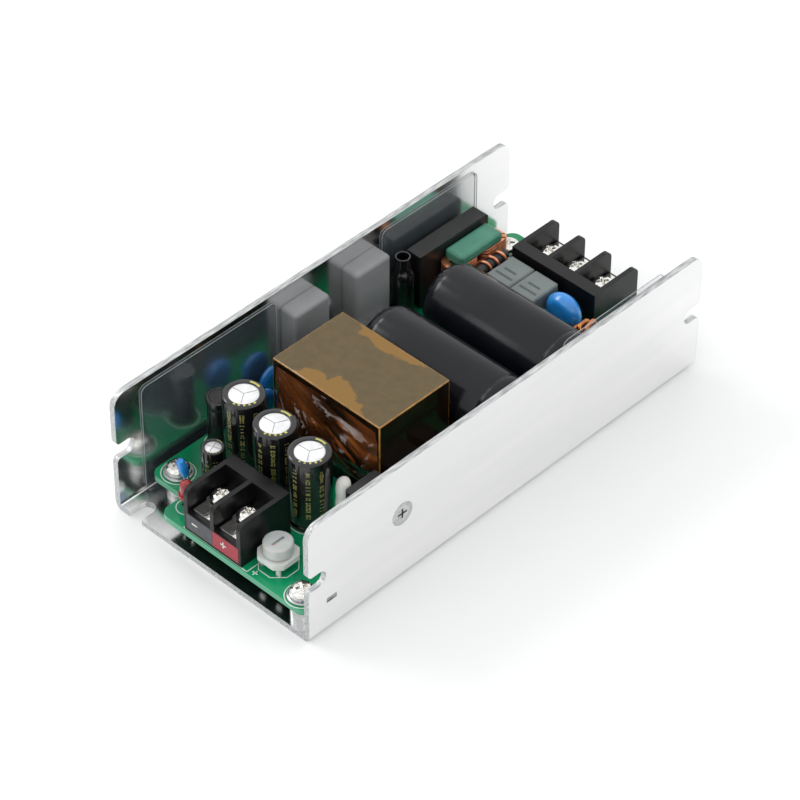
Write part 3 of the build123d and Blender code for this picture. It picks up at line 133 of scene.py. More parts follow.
@dataclass(frozen=True)
class Finish:
    """A real material with its surface, sizes in millimetres.

    The colour drifts to a second one in soft patches, the gloss drifts with it, and a fine
    grain stands up by its depth. An edge above zero softens the corners by that radius.
    """

    name: str
    colour: str
    second: str
    patch: float = 6.0
    stretch: Point = (1.0, 1.0, 1.0)
    contrast: Pair = (0.35, 0.65)
    roughness: float = 0.5
    spread: float = 0.05
    gloss_share: float = 0.6
    smoothest: float = 0.02
    metallic: float = 0.0
    ior: float = 1.5
    grain: float = 0.6
    depth: float = 0.004
    edge: float = 0.0
    edge_samples: int = 4
    coat: float = 0.0
    coat_roughness: float = 0.08
    transmission: float = 0.0
    subsurface: float = 0.0
    alpha: float = 1.0

    def material(self) -> bpy.types.Material:
        """Find this finish's material, or make it on the first call.

        Returns:
            The material, which has the finish's name.
        """
        found = bpy.data.materials.get(self.name)
        if found:
            return found
        material = bpy.data.materials.new(self.name)
        material.use_nodes = True
        tree = material.node_tree
        shader = tree.nodes["Principled BSDF"]
        for socket, value in (
            ("Base Color", linear(self.colour)), ("Metallic", self.metallic), ("Roughness", self.roughness),
            ("IOR", self.ior), ("Coat Weight", self.coat), ("Coat Roughness", self.coat_roughness),
            ("Transmission Weight", self.transmission), ("Subsurface Weight", self.subsurface),
            ("Subsurface Scale", MM), ("Alpha", self.alpha),
        ):
            shader.inputs[socket].default_value = value
        place = add_node(tree, "ShaderNodeTexCoord").outputs["Object"]
        layers = {"Base Color": self.paint, "Roughness": self.polish, "Normal": self.relief}
        for socket, layer in layers.items():
            tree.links.new(layer(tree, place), shader.inputs[socket])
        return material

    def mottle(self, tree: Tree, place: Socket, size: float, detail: float = 2.0) -> Socket:
        """Spread noise over the surface, drawn out by the finish's stretch.

        Args:
            tree: Node tree of the material.
            place: Coordinates in metres.
            size: Size of a spot in millimetres.
            detail: How many finer layers the spots have.

        Returns:
            The noise.
        """
        drawn = add_node(tree, "ShaderNodeMapping", {"Vector": place, "Scale": self.stretch}).outputs[0]
        settings = {"Vector": drawn, "Scale": METRE / size, "Detail": detail}
        return add_node(tree, "ShaderNodeTexNoise", settings).outputs[0]

    def cloud(self, tree: Tree, place: Socket, size: float, limits: Pair, detail: float = 3.0) -> Socket:
        """Make a soft mask of patches.

        Args:
            tree: Node tree of the material.
            place: Coordinates in metres.
            size: Size of a patch in millimetres.
            limits: Noise levels that become nought and one.
            detail: How many finer layers the patches have.

        Returns:
            A mask from nought to one.
        """
        patches = self.mottle(tree, place, size, detail)
        span = {"Value": patches, "From Min": limits[0], "From Max": limits[1]}
        return add_node(tree, "ShaderNodeMapRange", span).outputs[0]

    def paint(self, tree: Tree, place: Socket) -> Socket:
        """Drift the colour to the second one in soft patches.

        Args:
            tree: Node tree of the material.
            place: Coordinates in metres.

        Returns:
            The surface's colour.
        """
        mask = self.cloud(tree, place, self.patch, self.contrast)
        mix = {"data_type": "RGBA", 0: mask, MIX_FIRST: self.colour, MIX_SECOND: self.second}
        return add_node(tree, "ShaderNodeMix", mix).outputs[MIX_RESULT]

    def polish(self, tree: Tree, place: Socket) -> Socket:
        """Let the gloss drift over the surface, as handling and cleaning leave it.

        Args:
            tree: Node tree of the material.
            place: Coordinates in metres.

        Returns:
            The surface's roughness.
        """
        drift = self.mottle(tree, place, self.patch * self.gloss_share)
        glossy, dull = max(self.smoothest, self.roughness - self.spread), self.roughness + self.spread
        span = {"Value": drift, "To Min": glossy, "To Max": dull}
        return add_node(tree, "ShaderNodeMapRange", span).outputs[0]

    def relief(self, tree: Tree, place: Socket) -> Socket:
        """Raise the fine grain, over corners softened by the edge radius.

        Args:
            tree: Node tree of the material.
            place: Coordinates in metres.

        Returns:
            The surface's normal.
        """
        bump = {"Height": self.mottle(tree, place, self.grain), "Distance": self.depth * MM}
        if self.edge:
            corner = {"samples": self.edge_samples, "Radius": self.edge * MM}
            bump["Normal"] = add_node(tree, "ShaderNodeBevel", corner).outputs[0]
        return add_node(tree, "ShaderNodeBump", bump).outputs[0]


@dataclass(frozen=True)
class SolderMask(Finish):
    """Green solder mask over copper on glass epoxy, with the board's sawn edge left bare.

    The mask is glossy and shows the copper under it as slightly lighter fields with straight
    borders. The edge is pale and matt, and the underside is painted dark as painted shade, for the channel's
    shade that falls on it.
    """

    bare: str = "#4f9f7c"
    copper: str = "#12a069"
    # painted shade: the dark colour of the underside, for the channel's shade on it
    under: str = "#06281c"
    field_size: float = 7.0
    field_disorder: float = 0.7
    field_levels: Pair = (0.55, 0.6)
    field_tint: float = 0.5
    level: Pair = (0.4, 0.6)

    def paint(self, tree: Tree, place: Socket) -> Socket:
        """Lay copper fields under the mask, paint shade onto the underside and bare the edge.

        Args:
            tree: Node tree of the material.
            place: Coordinates in metres.

        Returns:
            The board's colour.
        """
        cells = {"distance": "CHEBYCHEV", "Scale": METRE / self.field_size, "Randomness": self.field_disorder}
        fields = add_node(tree, "ShaderNodeTexVoronoi", {**cells, "Vector": place}).outputs["Color"]
        tone = add_node(tree, "ShaderNodeSeparateColor", {0: fields}).outputs[0]
        low, high = self.field_levels
        span = {"Value": tone, "From Min": low, "From Max": high, "To Max": self.field_tint}
        copper = add_node(tree, "ShaderNodeMapRange", span).outputs[0]
        normal = add_node(tree, "ShaderNodeTexCoord").outputs["Normal"]
        up = add_node(tree, "ShaderNodeSeparateXYZ", {0: normal}).outputs[2]
        steep, flat = self.level
        # painted shade: faces that look down are painted the dark under colour
        span = {"Value": up, "From Min": -flat, "From Max": -steep, "To Min": 1.0, "To Max": 0.0}
        below = add_node(tree, "ShaderNodeMapRange", span).outputs[0]
        size = add_node(tree, "ShaderNodeMath", {"operation": "ABSOLUTE", 0: up}).outputs[0]
        span = {"Value": size, "From Min": steep, "From Max": flat, "To Min": 1.0, "To Max": 0.0}
        sawn = add_node(tree, "ShaderNodeMapRange", span).outputs[0]
        face = super().paint(tree, place)
        for mask, colour in ((copper, self.copper), (below, self.under), (sawn, self.bare)):
            mix = {"data_type": "RGBA", 0: mask, MIX_FIRST: face, MIX_SECOND: colour}
            face = add_node(tree, "ShaderNodeMix", mix).outputs[MIX_RESULT]
        return face


@dataclass(frozen=True)
class ShearedSheet(Finish):
    """Sheet metal whose sheared edges are greyer, rougher and speckled beside its smooth faces."""

    dull: str = "#9b9ea0"
    torn: str = "#d9dada"
    speckle: float = 0.35
    edge_roughness: float = 0.4
    bend: Pair = (2.2, 2.3)
    end_levels: Pair = (0.5, 0.6)
    wall_levels: Pair = (0.2, 0.4)

    def cut(self, tree: Tree, place: Socket) -> Socket:
        """Mask the edges: faces along the channel, and the walls' faces that don't look across it.

        Args:
            tree: Node tree of the material.
            place: Coordinates in metres.

        Returns:
            A mask that is one on the edges.
        """
        normal = add_node(tree, "ShaderNodeTexCoord").outputs["Normal"]
        parts = add_node(tree, "ShaderNodeSeparateXYZ", {0: normal}).outputs
        masks = []
        for axis, limits, ends in ((0, self.end_levels, (0.0, 1.0)), (1, self.wall_levels, (1.0, 0.0))):
            size = add_node(tree, "ShaderNodeMath", {"operation": "ABSOLUTE", 0: parts[axis]}).outputs[0]
            span = {"From Min": limits[0], "From Max": limits[1], "To Min": ends[0], "To Max": ends[1]}
            masks.append(add_node(tree, "ShaderNodeMapRange", {**span, "Value": size}).outputs[0])
        height = add_node(tree, "ShaderNodeSeparateXYZ", {0: place}).outputs[2]
        span = {"Value": height, "From Min": self.bend[0] * MM, "From Max": self.bend[1] * MM}
        high = add_node(tree, "ShaderNodeMapRange", span).outputs[0]
        wall = add_node(tree, "ShaderNodeMath", {"operation": "MULTIPLY", 0: masks[1], 1: high}).outputs[0]
        return add_node(tree, "ShaderNodeMath", {"operation": "MAXIMUM", 0: masks[0], 1: wall}).outputs[0]

    def paint(self, tree: Tree, place: Socket) -> Socket:
        """Drift the faces' tone and speckle the sheared edges.

        Args:
            tree: Node tree of the material.
            place: Coordinates in metres.

        Returns:
            The sheet's colour.
        """
        specks = self.cloud(tree, place, self.speckle, self.contrast)
        mix = {"data_type": "RGBA", 0: specks, MIX_FIRST: self.dull, MIX_SECOND: self.torn}
        edge = add_node(tree, "ShaderNodeMix", mix).outputs[MIX_RESULT]
        face = super().paint(tree, place)
        mix = {"data_type": "RGBA", 0: self.cut(tree, place), MIX_FIRST: face, MIX_SECOND: edge}
        return add_node(tree, "ShaderNodeMix", mix).outputs[MIX_RESULT]

    def polish(self, tree: Tree, place: Socket) -> Socket:
        """Keep the faces' gloss and roughen the sheared edges.

        Args:
            tree: Node tree of the material.
            place: Coordinates in metres.

        Returns:
            The sheet's roughness.
        """
        share = {"operation": "MULTIPLY", 0: self.cut(tree, place), 1: self.edge_roughness}
        rough = add_node(tree, "ShaderNodeMath", share).outputs[0]
        gloss = super().polish(tree, place)
        return add_node(tree, "ShaderNodeMath", {"operation": "MAXIMUM", 0: gloss, 1: rough}).outputs[0]


@dataclass(frozen=True)
class TapeLid(Finish):
    """Polyimide tape pulled flat over the ferrite, stuck down in the middle of the top.

    Where glue fills the gap, the dark core dulls it to olive brown. Along the front and back
    edges it has lifted, and there it is clear amber with a wandering border.
    """

    lifted: str = "#855e0c"
    clearness: float = 0.85
    front: float = -27.2
    back: float = -5.0
    reach: Pair = (5.6, 4.6)
    span_front: Pair = (12.5, -12.0)
    span_back: Pair = (12.8, -10.6)
    border: Pair = (1.33, 1.43)
    wander: float = 5.0
    wander_detail: float = 5.0
    wander_levels: Pair = (0.2, 0.8)

    def paint(self, tree: Tree, place: Socket) -> Socket:
        """Mark the lifted amber bays along both long edges.

        Args:
            tree: Node tree of the material.
            place: Coordinates in metres.

        Returns:
            The lid's colour.
        """
        wander = self.cloud(tree, place, self.wander, self.wander_levels, self.wander_detail)
        front = self.bay(tree, place, wander, (self.front, self.front + self.reach[0]), self.span_front)
        back = self.bay(tree, place, wander, (self.back, self.back - self.reach[1]), self.span_back)
        both = add_node(tree, "ShaderNodeMath", {"operation": "MAXIMUM", 0: front, 1: back}).outputs[0]
        mix = {"data_type": "RGBA", 0: both, MIX_FIRST: super().paint(tree, place), MIX_SECOND: self.lifted}
        return add_node(tree, "ShaderNodeMix", mix).outputs[MIX_RESULT]

    def bay(self, tree: Tree, place: Socket, wander: Socket, depth: Pair, span: Pair) -> Socket:
        """Mask one bay, half an oval on a long edge with a wandering border.

        Args:
            tree: Node tree of the material.
            place: Coordinates in metres.
            wander: Noise that moves the border.
            depth: X of the edge and of the bay's deepest place.
            span: Y of its ends.

        Returns:
            A mask that is above nought inside the bay.
        """
        at = add_node(tree, "ShaderNodeSeparateXYZ", {0: place}).outputs
        middle = sum(span) / 2
        shares = []
        for axis, start, stop in ((0, *depth), (1, middle, middle + abs(span[0] - span[1]) / 2)):
            limits = {"Value": at[axis], "From Min": start * MM, "From Max": stop * MM, "clamp": False}
            shares.append(add_node(tree, "ShaderNodeMapRange", limits).outputs[0])
        square = add_node(tree, "ShaderNodeMath", {"operation": "POWER", 0: shares[1], 1: 2.0}).outputs[0]
        oval = add_node(tree, "ShaderNodeMath", {"operation": "ADD", 0: shares[0], 1: square}).outputs[0]
        line = add_node(tree, "ShaderNodeMath", {"operation": "ADD", 0: oval, 1: wander}).outputs[0]
        near, far = self.border
        limits = {"Value": line, "From Min": near, "From Max": far, "To Min": self.clearness, "To Max": 0.0}
        return add_node(tree, "ShaderNodeMapRange", limits).outputs[0]


@dataclass(frozen=True)
class TapeFolds(Finish):
    """Polyimide tape crumpled over the coil: amber in one layer, brown to black where it doubles.

    The folds run down from the far top corner, so the colours are drawn out that way.
    """

    bright: str = "#a05a26"
    bright_share: float = 0.7
    bright_levels: Pair = (0.58, 0.66)
    fold_angle: float = -28.0

    def paint(self, tree: Tree, place: Socket) -> Socket:
        """Draw the layers out along the folds, with a few bright single layers.

        Args:
            tree: Node tree of the material.
            place: Coordinates in metres.

        Returns:
            The folds' colour.
        """
        turn = (math.radians(self.fold_angle), 0.0, 0.0)
        turned = add_node(tree, "ShaderNodeMapping", {"Vector": place, "Rotation": turn}).outputs[0]
        single = self.cloud(tree, turned, self.patch * self.bright_share, self.bright_levels)
        layers = super().paint(tree, turned)
        mix = {"data_type": "RGBA", 0: single, MIX_FIRST: layers, MIX_SECOND: self.bright}
        return add_node(tree, "ShaderNodeMix", mix).outputs[MIX_RESULT]


# Bent aluminium sheet, satin from the mill, drawn along the channel: soft streaks in a bright surface
SHEET_METAL = ShearedSheet(
    "satin_aluminium_sheet", "#f3f3f2", "#efefef", patch=5.0, stretch=(0.1, 1.0, 1.0), roughness=0.17,
    spread=0.018, metallic=1.0, grain=0.35, depth=0.0006, edge=0.15,
)
# Clear polyester film, calendered: a faint grey veil over what lies behind it, with a sheen of its own
CLEAR_FILM = Finish(
    "clear_polyester_film", "#87949c", "#7b8890", patch=14.0, roughness=0.03, spread=0.015, ior=1.6,
    grain=9.0, depth=0.02, alpha=0.1,
)
# The film's knife-cut edge, frosted by the blade, drawn as a pale line: its frosting, with a painted
# highlight where it catches the light
CUT_EDGE_PAINTED_HIGHLIGHT = Finish("cut_film_edge_painted_highlight", "#aab0b1", "#8f9697", patch=3.0, roughness=0.4, grain=0.3)
# Glass-epoxy board under glossy green solder mask
BOARD_MASK = SolderMask(
    "green_solder_mask", "#0b9562", "#0a8358", patch=11.0, roughness=0.2, spread=0.05, grain=1.2, depth=0.006,
)
# Screen-printed epoxy ink: flat white, a touch uneven at its rims
WHITE_INK = Finish("white_screen_ink", "#e9eeea", "#cfd8d2", patch=0.8, roughness=0.55, grain=0.2)
# Steel plated with bright nickel: mirror-like, speckled by the barrel it tumbled in
NICKEL = Finish(
    "bright_nickel_plate", "#f1f0ed", "#dbd9d3", patch=0.6, roughness=0.11, spread=0.05, metallic=1.0,
    grain=0.5, depth=0.03, edge=0.1,
)
# Steel with dull zinc plate: greyer and more even than nickel
ZINC = Finish(
    "dull_zinc_plate", "#cfd0cf", "#b4b6b8", patch=1.2, roughness=0.3, metallic=1.0, grain=0.3, depth=0.006,
    edge=0.12,
)
# Lead wire dipped in tin: silvery and softly glossy
TINNED = Finish("tinned_wire", "#d5d5d2", "#bdbdb9", patch=0.7, roughness=0.25, metallic=1.0, grain=0.3)
# Glass-filled nylon, moulded: deep black with a soft sheen that rubs brighter on its rims
BLACK_NYLON = Finish(
    "moulded_black_nylon", "#0b0b0d", "#101012", patch=4.0, roughness=0.34, spread=0.07, ior=1.4, grain=0.35,
    depth=0.004, edge=0.2,
)
# Filled epoxy moulding compound, satin from the tool, as on chips and bridges
BLACK_EPOXY = Finish(
    "moulded_black_epoxy", "#171718", "#1e1e20", patch=3.0, roughness=0.38, spread=0.07, grain=0.25,
    depth=0.005, edge=0.18,
)
# Shrunk sleeve on the small cans: glossy black with a faint orange peel
CAN_SLEEVE = Finish(
    "black_shrink_sleeve", "#0f0f11", "#161618", patch=5.0, roughness=0.16, spread=0.05, grain=1.6,
    depth=0.008, coat=0.4,
)
# Thicker shrunk sleeve on the bulk cans: charcoal, satin, with shallow ripples
BULK_SLEEVE = Finish(
    "charcoal_shrink_sleeve", "#14161b", "#101217", patch=9.0, roughness=0.2, spread=0.04, ior=1.4,
    grain=2.6, depth=0.025,
)
# Bare aluminium lid of a can, bead-blasted almost white
CAN_LID = Finish("blasted_can_lid", "#f3f4f4", "#e2e3e4", patch=1.5, roughness=0.42, metallic=0.35, grain=0.2)
# Painted shade: dark strips for the pressed score lines of the lid, and a dark slab for the gap of a split
# washer
LID_SCORE_PAINTED_SHADE = Finish("lid_score_painted_shade", "#8d8f91", "#7c7e80", patch=1.0, roughness=0.5, metallic=0.3)
# Yellow-green printing ink on the sleeves, thin enough to look dull
SLEEVE_INK = Finish("yellow_sleeve_ink", "#a3a15a", "#8b8c50", patch=0.7, roughness=0.45, grain=0.2)
# The same ink in a solid field on the rim, painted brighter there: painted light on the upward-facing
# shoulder
RIM_INK_PAINTED_LIGHT = Finish("yellow_rim_ink_painted_light", "#c3bf62", "#aeac55", patch=0.9, roughness=0.45, grain=0.2)
# Pressed and ground ferrite: dark grey, matt, slightly uneven
FERRITE = Finish("ground_ferrite", "#2a2a2c", "#353537", patch=1.5, grain=0.25, depth=0.006, edge=0.1)
# Lacquered copper wire: pink metal under a thin glossy coat
COPPER = Finish(
    "lacquered_copper_wire", "#eaa27c", "#d17f55", patch=1.5, roughness=0.3, metallic=0.85, grain=0.5,
    depth=0.006, coat=0.5,
)
# Thick orange enamel on the toroid's wire: warm and glossy
ORANGE_COPPER = Finish(
    "orange_enamelled_wire", "#d98a3a", "#b4622a", patch=2.0, roughness=0.22, metallic=0.6, grain=0.5,
    coat=0.5,
)
# Polyimide tape over the core: olive where stuck down, amber where lifted
TAPE_TOP = TapeLid(
    "polyimide_tape_over_ferrite", "#50401a", "#5a4820", patch=2.2, contrast=(0.3, 0.7), roughness=0.18,
    spread=0.04, grain=1.4, depth=0.006, coat=0.1,
)
# The same tape on the core's sides, painted nearly black as painted shade, with soft reflections
TAPE_SIDE_PAINTED_SHADE = Finish(
    "polyimide_tape_side_painted_shade", "#140d07", "#1f140a", patch=6.0, roughness=0.1, spread=0.05, ior=1.35,
    grain=3.0, depth=0.03, coat=0.1,
)
# The tape's folded rim, where light runs through the amber
TAPE_RIM = Finish("polyimide_tape_rim", "#a8782c", "#7d5520", patch=2.5, roughness=0.22, grain=0.5, coat=0.5)
# Crumpled tape over the coil: copper brown streaks under a hard gloss
TAPE_FOLD = TapeFolds(
    "crumpled_polyimide_tape", "#170d08", "#5e3419", patch=6.5, stretch=(1.0, 0.22, 1.0),
    contrast=(0.38, 0.62), roughness=0.1, spread=0.04, grain=2.0, depth=0.004, coat=1.0,
)
# Silicone rubber cap, moulded: mid grey, matt, with rounded light along its rims
GREY_SILICONE = Finish(
    "moulded_grey_silicone", "#8c8d8f", "#828385", patch=7.0, grain=0.5, depth=0.008, edge=0.7,
)
# Baked epoxy powder on the ring core: teal green, even, softly glossy
GREEN_POWDER = Finish(
    "green_epoxy_powder", "#4a8c76", "#42806b", patch=4.0, roughness=0.32, grain=0.7, depth=0.008, edge=0.6,
)
# Moulded box of a film capacitor, potted from below: even grey with a satin face
GREY_BOX = Finish(
    "moulded_grey_box", "#717a79", "#6a7372", patch=4.0, roughness=0.42, grain=0.4, depth=0.005, edge=0.35,
)
# Pad-printed ink on the grey boxes, a shade darker and flat
DARK_INK = Finish("dark_pad_ink", "#4c5657", "#434d4e", patch=0.6, grain=0.2)
# Dipped epoxy, pigment blue: thick, glossy, running thin on the leads
BLUE_DIP = Finish(
    "blue_dipped_epoxy", "#1f6fb8", "#2b7fc8", patch=3.0, roughness=0.16, grain=1.8, depth=0.03, coat=0.7,
)
# The same dip in a paler batch on the surge absorber and the bead
PALE_BLUE_DIP = Finish(
    "pale_blue_dipped_epoxy", "#2b90e0", "#2484d4", patch=3.0, roughness=0.2, grain=1.8, depth=0.03, coat=0.6,
)
# Red acrylic of the indicator, moulded clear: light sinks in and its dome shines
RED_LENS = Finish(
    "red_acrylic_lens", "#c3161a", "#a30f14", patch=1.5, roughness=0.08, spread=0.03, ior=1.49,
    transmission=0.35, grain=1.0, coat=0.6,
)
# Neutral-cure sealant, pushed on by hand: milky white, softly translucent
SEALANT = Finish(
    "white_silicone_sealant", "#e4e4e0", "#d2d2cd", patch=3.0, roughness=0.35, grain=1.5, depth=0.08,
    subsurface=0.4,
)
# Natural acetal of the trimmer's rotor: grey-white, light sinks in a little
MILKY_ACETAL = Finish(
    "natural_acetal", "#c6cac8", "#b9bebc", patch=2.5, roughness=0.35, depth=0.006, subsurface=0.5, edge=0.25,
)
# Moulded plate of the trimmer: plain white, satin
WHITE_PLATE = Finish("white_moulded_plate", "#dcdedb", "#cfd2ce", patch=2.0, roughness=0.4, edge=0.15)
# Sand-coloured lacquer on the load resistor: smooth, with a thin gloss
RESISTOR_LACQUER = Finish("sand_lacquer", "#a58c66", "#947a55", patch=2.0, roughness=0.35, coat=0.3)
# Printed label fields on the output block: matt ink in grey and red
GREY_LABEL = Finish("grey_label_ink", "#47484d", "#4f5055", patch=1.2, grain=0.25)
RED_LABEL = Finish("red_label_ink", "#a2333e", "#952f38", patch=1.2, grain=0.25)
# Painted studio floor: pale and faintly glossy
FLOOR_PAINT = Finish(
    "pale_studio_floor", "#f4f5f5", "#f1f2f2", patch=300.0, roughness=0.34, grain=40.0, depth=0.01,
)


class Axis(Enum):
    """Which way the axis of a turned form points, as its turn from Z."""

    X = Matrix.Rotation(math.pi / 2, 4, "Y")
    Y = Matrix.Rotation(-math.pi / 2, 4, "X")
    Z = Matrix.Identity(4)


@dataclass(frozen=True)
class Box:
    """The box round a solid, by its lowest and highest corner in millimetres."""

    low: Vector
    high: Vector

    @classmethod
    def of(cls, node: str) -> Box:
        """Box of a CAD node."""
        low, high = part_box(node)
        return cls(low * METRE, high * METRE)

    @property
    def x(self) -> float:
        """Middle along X."""
        return (self.low.x + self.high.x) / 2

    @property
    def y(self) -> float:
        """Middle along Y."""
        return (self.low.y + self.high.y) / 2

    @property
    def radius(self) -> float:
        """Half the size along X."""
        return (self.high.x - self.low.x) / 2


def rounded(points: Sequence[Sequence[float]], radius: float, segments: int = 4) -> list[tuple[float, ...]]:
    """Round the inner corners of an open line.

    Args:
        points: Corners in two or three dimensions.
        radius: Length taken from each side of a corner.
        segments: Steps round each corner.

    Returns:
        The line's points, its ends unchanged.
    """
    line = [tuple(points[0])]
    for before, corner, after in zip(points, points[1:], points[2:]):
        middle = Vector(corner)
        back, forth = Vector(before) - middle, Vector(after) - middle
        reach = min(radius, back.length * CORNER_SHARE, forth.length * CORNER_SHARE)
        start, end = middle + back.normalized() * reach, middle + forth.normalized() * reach
        for step in range(segments + 1):
            t = step / segments
            line.append(tuple(start * (1 - t) ** 2 + middle * 2 * t * (1 - t) + end * t * t))
    line.append(tuple(points[-1]))
    return line


def quarter(steps: int) -> list[float]:
    """Angles of a quarter turn, in radians."""
    return [math.pi / 2 * n / steps for n in range(steps + 1)]


def block(x: Pair, y: Pair, z: Pair) -> Part:
    """Make a plain block.

    Args:
        x: Span along X.
        y: Span along Y.
        z: Span along Z.

    Returns:
        Its mesh.
    """
    part = bmesh.new()
    spans = (x, y, z)
    bmesh.ops.create_cube(part, size=1.0)
    bmesh.ops.scale(part, vec=[abs(b - a) for a, b in spans], verts=part.verts)
    bmesh.ops.translate(part, vec=[(a + b) / 2 for a, b in spans], verts=part.verts)
    return part


def bevel(
    part: Part, edges: Sequence[bmesh.types.BMEdge], offset: float, segments: int
) -> list[bmesh.types.BMFace]:
    """Round some edges of a mesh.

    Args:
        part: The mesh.
        edges: Which of its edges.
        offset: How far the rounding reaches.
        segments: Facets across it.

    Returns:
        The new faces.
    """
    made = bmesh.ops.bevel(
        part, geom=edges, offset=offset, affect="EDGES", segments=segments, profile=0.5, material=-1
    )
    return made["faces"]


def separate_boxes(frame: dict, node: str) -> list[Box]:
    """Find the solids of a CAD node.

    Args:
        frame: The loaded frame.
        node: Name of a node with several solids.

    Returns:
        The box of each solid, from the near front to the far rear.
    """
    part = bmesh.new()
    part.from_mesh(frame["nodes"][node].data)
    bmesh.ops.remove_doubles(part, verts=part.verts, dist=SOLID_WELD * MM)
    waiting, boxes = set(part.verts), []
    while waiting:
        edge, group = [waiting.pop()], []
        while edge:
            vert = edge.pop()
            group.append(vert.co * METRE)
            fresh = {e.other_vert(vert) for e in vert.link_edges} & waiting
            waiting -= fresh
            edge.extend(fresh)
        boxes.append(Box(*(Vector(pick(co[n] for co in group) for n in range(3)) for pick in (min, max))))
    part.free()
    return sorted(boxes, key=lambda box: (round(box.low.x), box.low.y))


class Form:
    """A mesh under construction, in millimetres, whose faces carry finishes."""

    def __init__(self) -> None:
        """Start with no faces."""
        self.mesh = bmesh.new()
        self.finishes: list[Finish] = []

    def take(self, part: Part, finish: Finish, place: Matrix | None = None) -> None:
        """Join a part to the form and free it.

        Args:
            part: Mesh of one shell.
            finish: Its finish.
            place: Turn and shift from where it was made.
        """
        if place is not None:
            part.transform(place)
        if finish not in self.finishes:
            self.finishes.append(finish)
        for face in part.faces:
            face.material_index = self.finishes.index(finish)
        store = bpy.data.meshes.new("part")
        part.to_mesh(store)
        part.free()
        self.mesh.from_mesh(store)
        bpy.data.meshes.remove(store)

    def turned(
        self, profile: Sequence[Pair], finish: Finish, place: Point, axis: Axis = Axis.Z, steps: int = 48
    ) -> None:
        """Add a body spun from (radius, height) points.

        Args:
            profile: Points from the foot of the axis round to its top.
            finish: The body's finish.
            place: Where the profile's zero comes to lie.
            axis: Which way its height points.
            steps: Facets round the body.
        """
        part = bmesh.new()
        corners = [part.verts.new((max(radius, 0.0), 0.0, height)) for radius, height in profile]
        edges = [part.edges.new(pair) for pair in zip(corners, corners[1:])]
        bmesh.ops.spin(
            part, geom=corners + edges, cent=(0, 0, 0), axis=(0, 0, 1), angle=math.tau, steps=steps,
            use_merge=True,
        )
        bmesh.ops.remove_doubles(part, verts=part.verts, dist=WELD)
        bmesh.ops.recalc_face_normals(part, faces=part.faces)
        self.take(part, finish, Matrix.Translation(place) @ axis.value)

    def slab(
        self, x: Pair, y: Pair, z: Pair, finish: Finish, soft: float = 0.0, turn: Matrix | None = None
    ) -> None:
        """Add a block with softened edges from its spans.

        Args:
            x: Span along X before the turn.
            y: Span along Y.
            z: Span along Z.
            finish: The block's finish.
            soft: Radius of its edges.
            turn: Turn and shift of the finished block.
        """
        part = block(x, y, z)
        if soft:
            bevel(part, part.edges[:], soft, 3)
        self.take(part, finish, turn)

    def wire(
        self, line: Sequence[Sequence[float]], diameter: float, finish: Finish, closed: bool = False
    ) -> None:
        """Add a round wire along a line of points.

        Args:
            line: The wire's middle line.
            diameter: Its thickness.
            finish: Its finish.
            closed: Whether it returns to its start.
        """
        curve = bpy.data.curves.new("wire", "CURVE")
        curve.dimensions = "3D"
        curve.bevel_depth = diameter / 2
        curve.bevel_resolution = 2
        curve.use_fill_caps = True
        spline = curve.splines.new("POLY")
        spline.points.add(len(line) - 1)
        for point, place in zip(spline.points, line):
            point.co = (*place, 1.0)
        spline.use_cyclic_u = closed
        carrier = bpy.data.objects.new("wire", curve)
        drawn = bpy.data.meshes.new_from_object(carrier)
        part = bmesh.new()
        part.from_mesh(drawn)
        bmesh.ops.remove_doubles(part, verts=part.verts, dist=WIRE_WELD)
        bmesh.ops.recalc_face_normals(part, faces=part.faces)
        bpy.data.objects.remove(carrier)
        bpy.data.curves.remove(curve)
        bpy.data.meshes.remove(drawn)
        self.take(part, finish)

    def lead(self, x: float, y: float, top: float, foot: float, diameter: float = 0.6) -> None:
        """Add a straight tinned lead with a snipped end.

        Args:
            x: Place along X.
            y: Place along Y.
            top: Height of its upper end.
            foot: Height of its lower end.
            diameter: Its thickness.
        """
        outer, blunt = diameter / 2, diameter / 5
        profile = [(0, foot), (outer - blunt, foot), (outer, foot + blunt), (outer, top), (0, top)]
        self.turned(profile, TINNED, (x, y, 0.0), steps=12)

    def lead_pair(
        self, x: float, y: float, pitch: float, top: float, foot: float, diameter: float = 0.6
    ) -> None:
        """Add two leads side by side along Y.

        Args:
            x: Place along X.
            y: Middle between them.
            pitch: Distance between them.
            top: Height of their upper ends.
            foot: Height of their lower ends.
            diameter: Their thickness.
        """
        for side in (-1, 1):
            self.lead(x, y + side * pitch / 2, top, foot, diameter)

    def piece(
        self, name: str, slot: str, replaces: Sequence[str] = (), body: str = "module",
        smooth: float | None = 35.0,
    ) -> bpy.types.Object:
        """Turn the form into a piece that rides on a body.

        Args:
            name: The piece's name.
            slot: Name of a material slot in the record for its main finish; not used.
            replaces: CAD nodes that it stands for.
            body: CAD body that it moves with.
            smooth: Edges flatter than this many degrees are shaded smooth, none if not given.

        Returns:
            The new object.
        """
        self.mesh.transform(Matrix.Scale(MM, 4))
        mesh = bpy.data.meshes.new(name)
        self.mesh.to_mesh(mesh)
        self.mesh.free()
        for finish in self.finishes:
            mesh.materials.append(finish.material())
        if smooth is not None:
            mesh.shade_smooth()
            mesh.set_sharp_from_angle(angle=math.radians(smooth))
        made = bpy.data.objects.new(name, mesh)
        bpy.context.scene.collection.objects.link(made)
        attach(made, body)
        if replaces:
            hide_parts(*replaces)
        LOG.info("%s: %d faces", name, len(mesh.polygons))
        return made


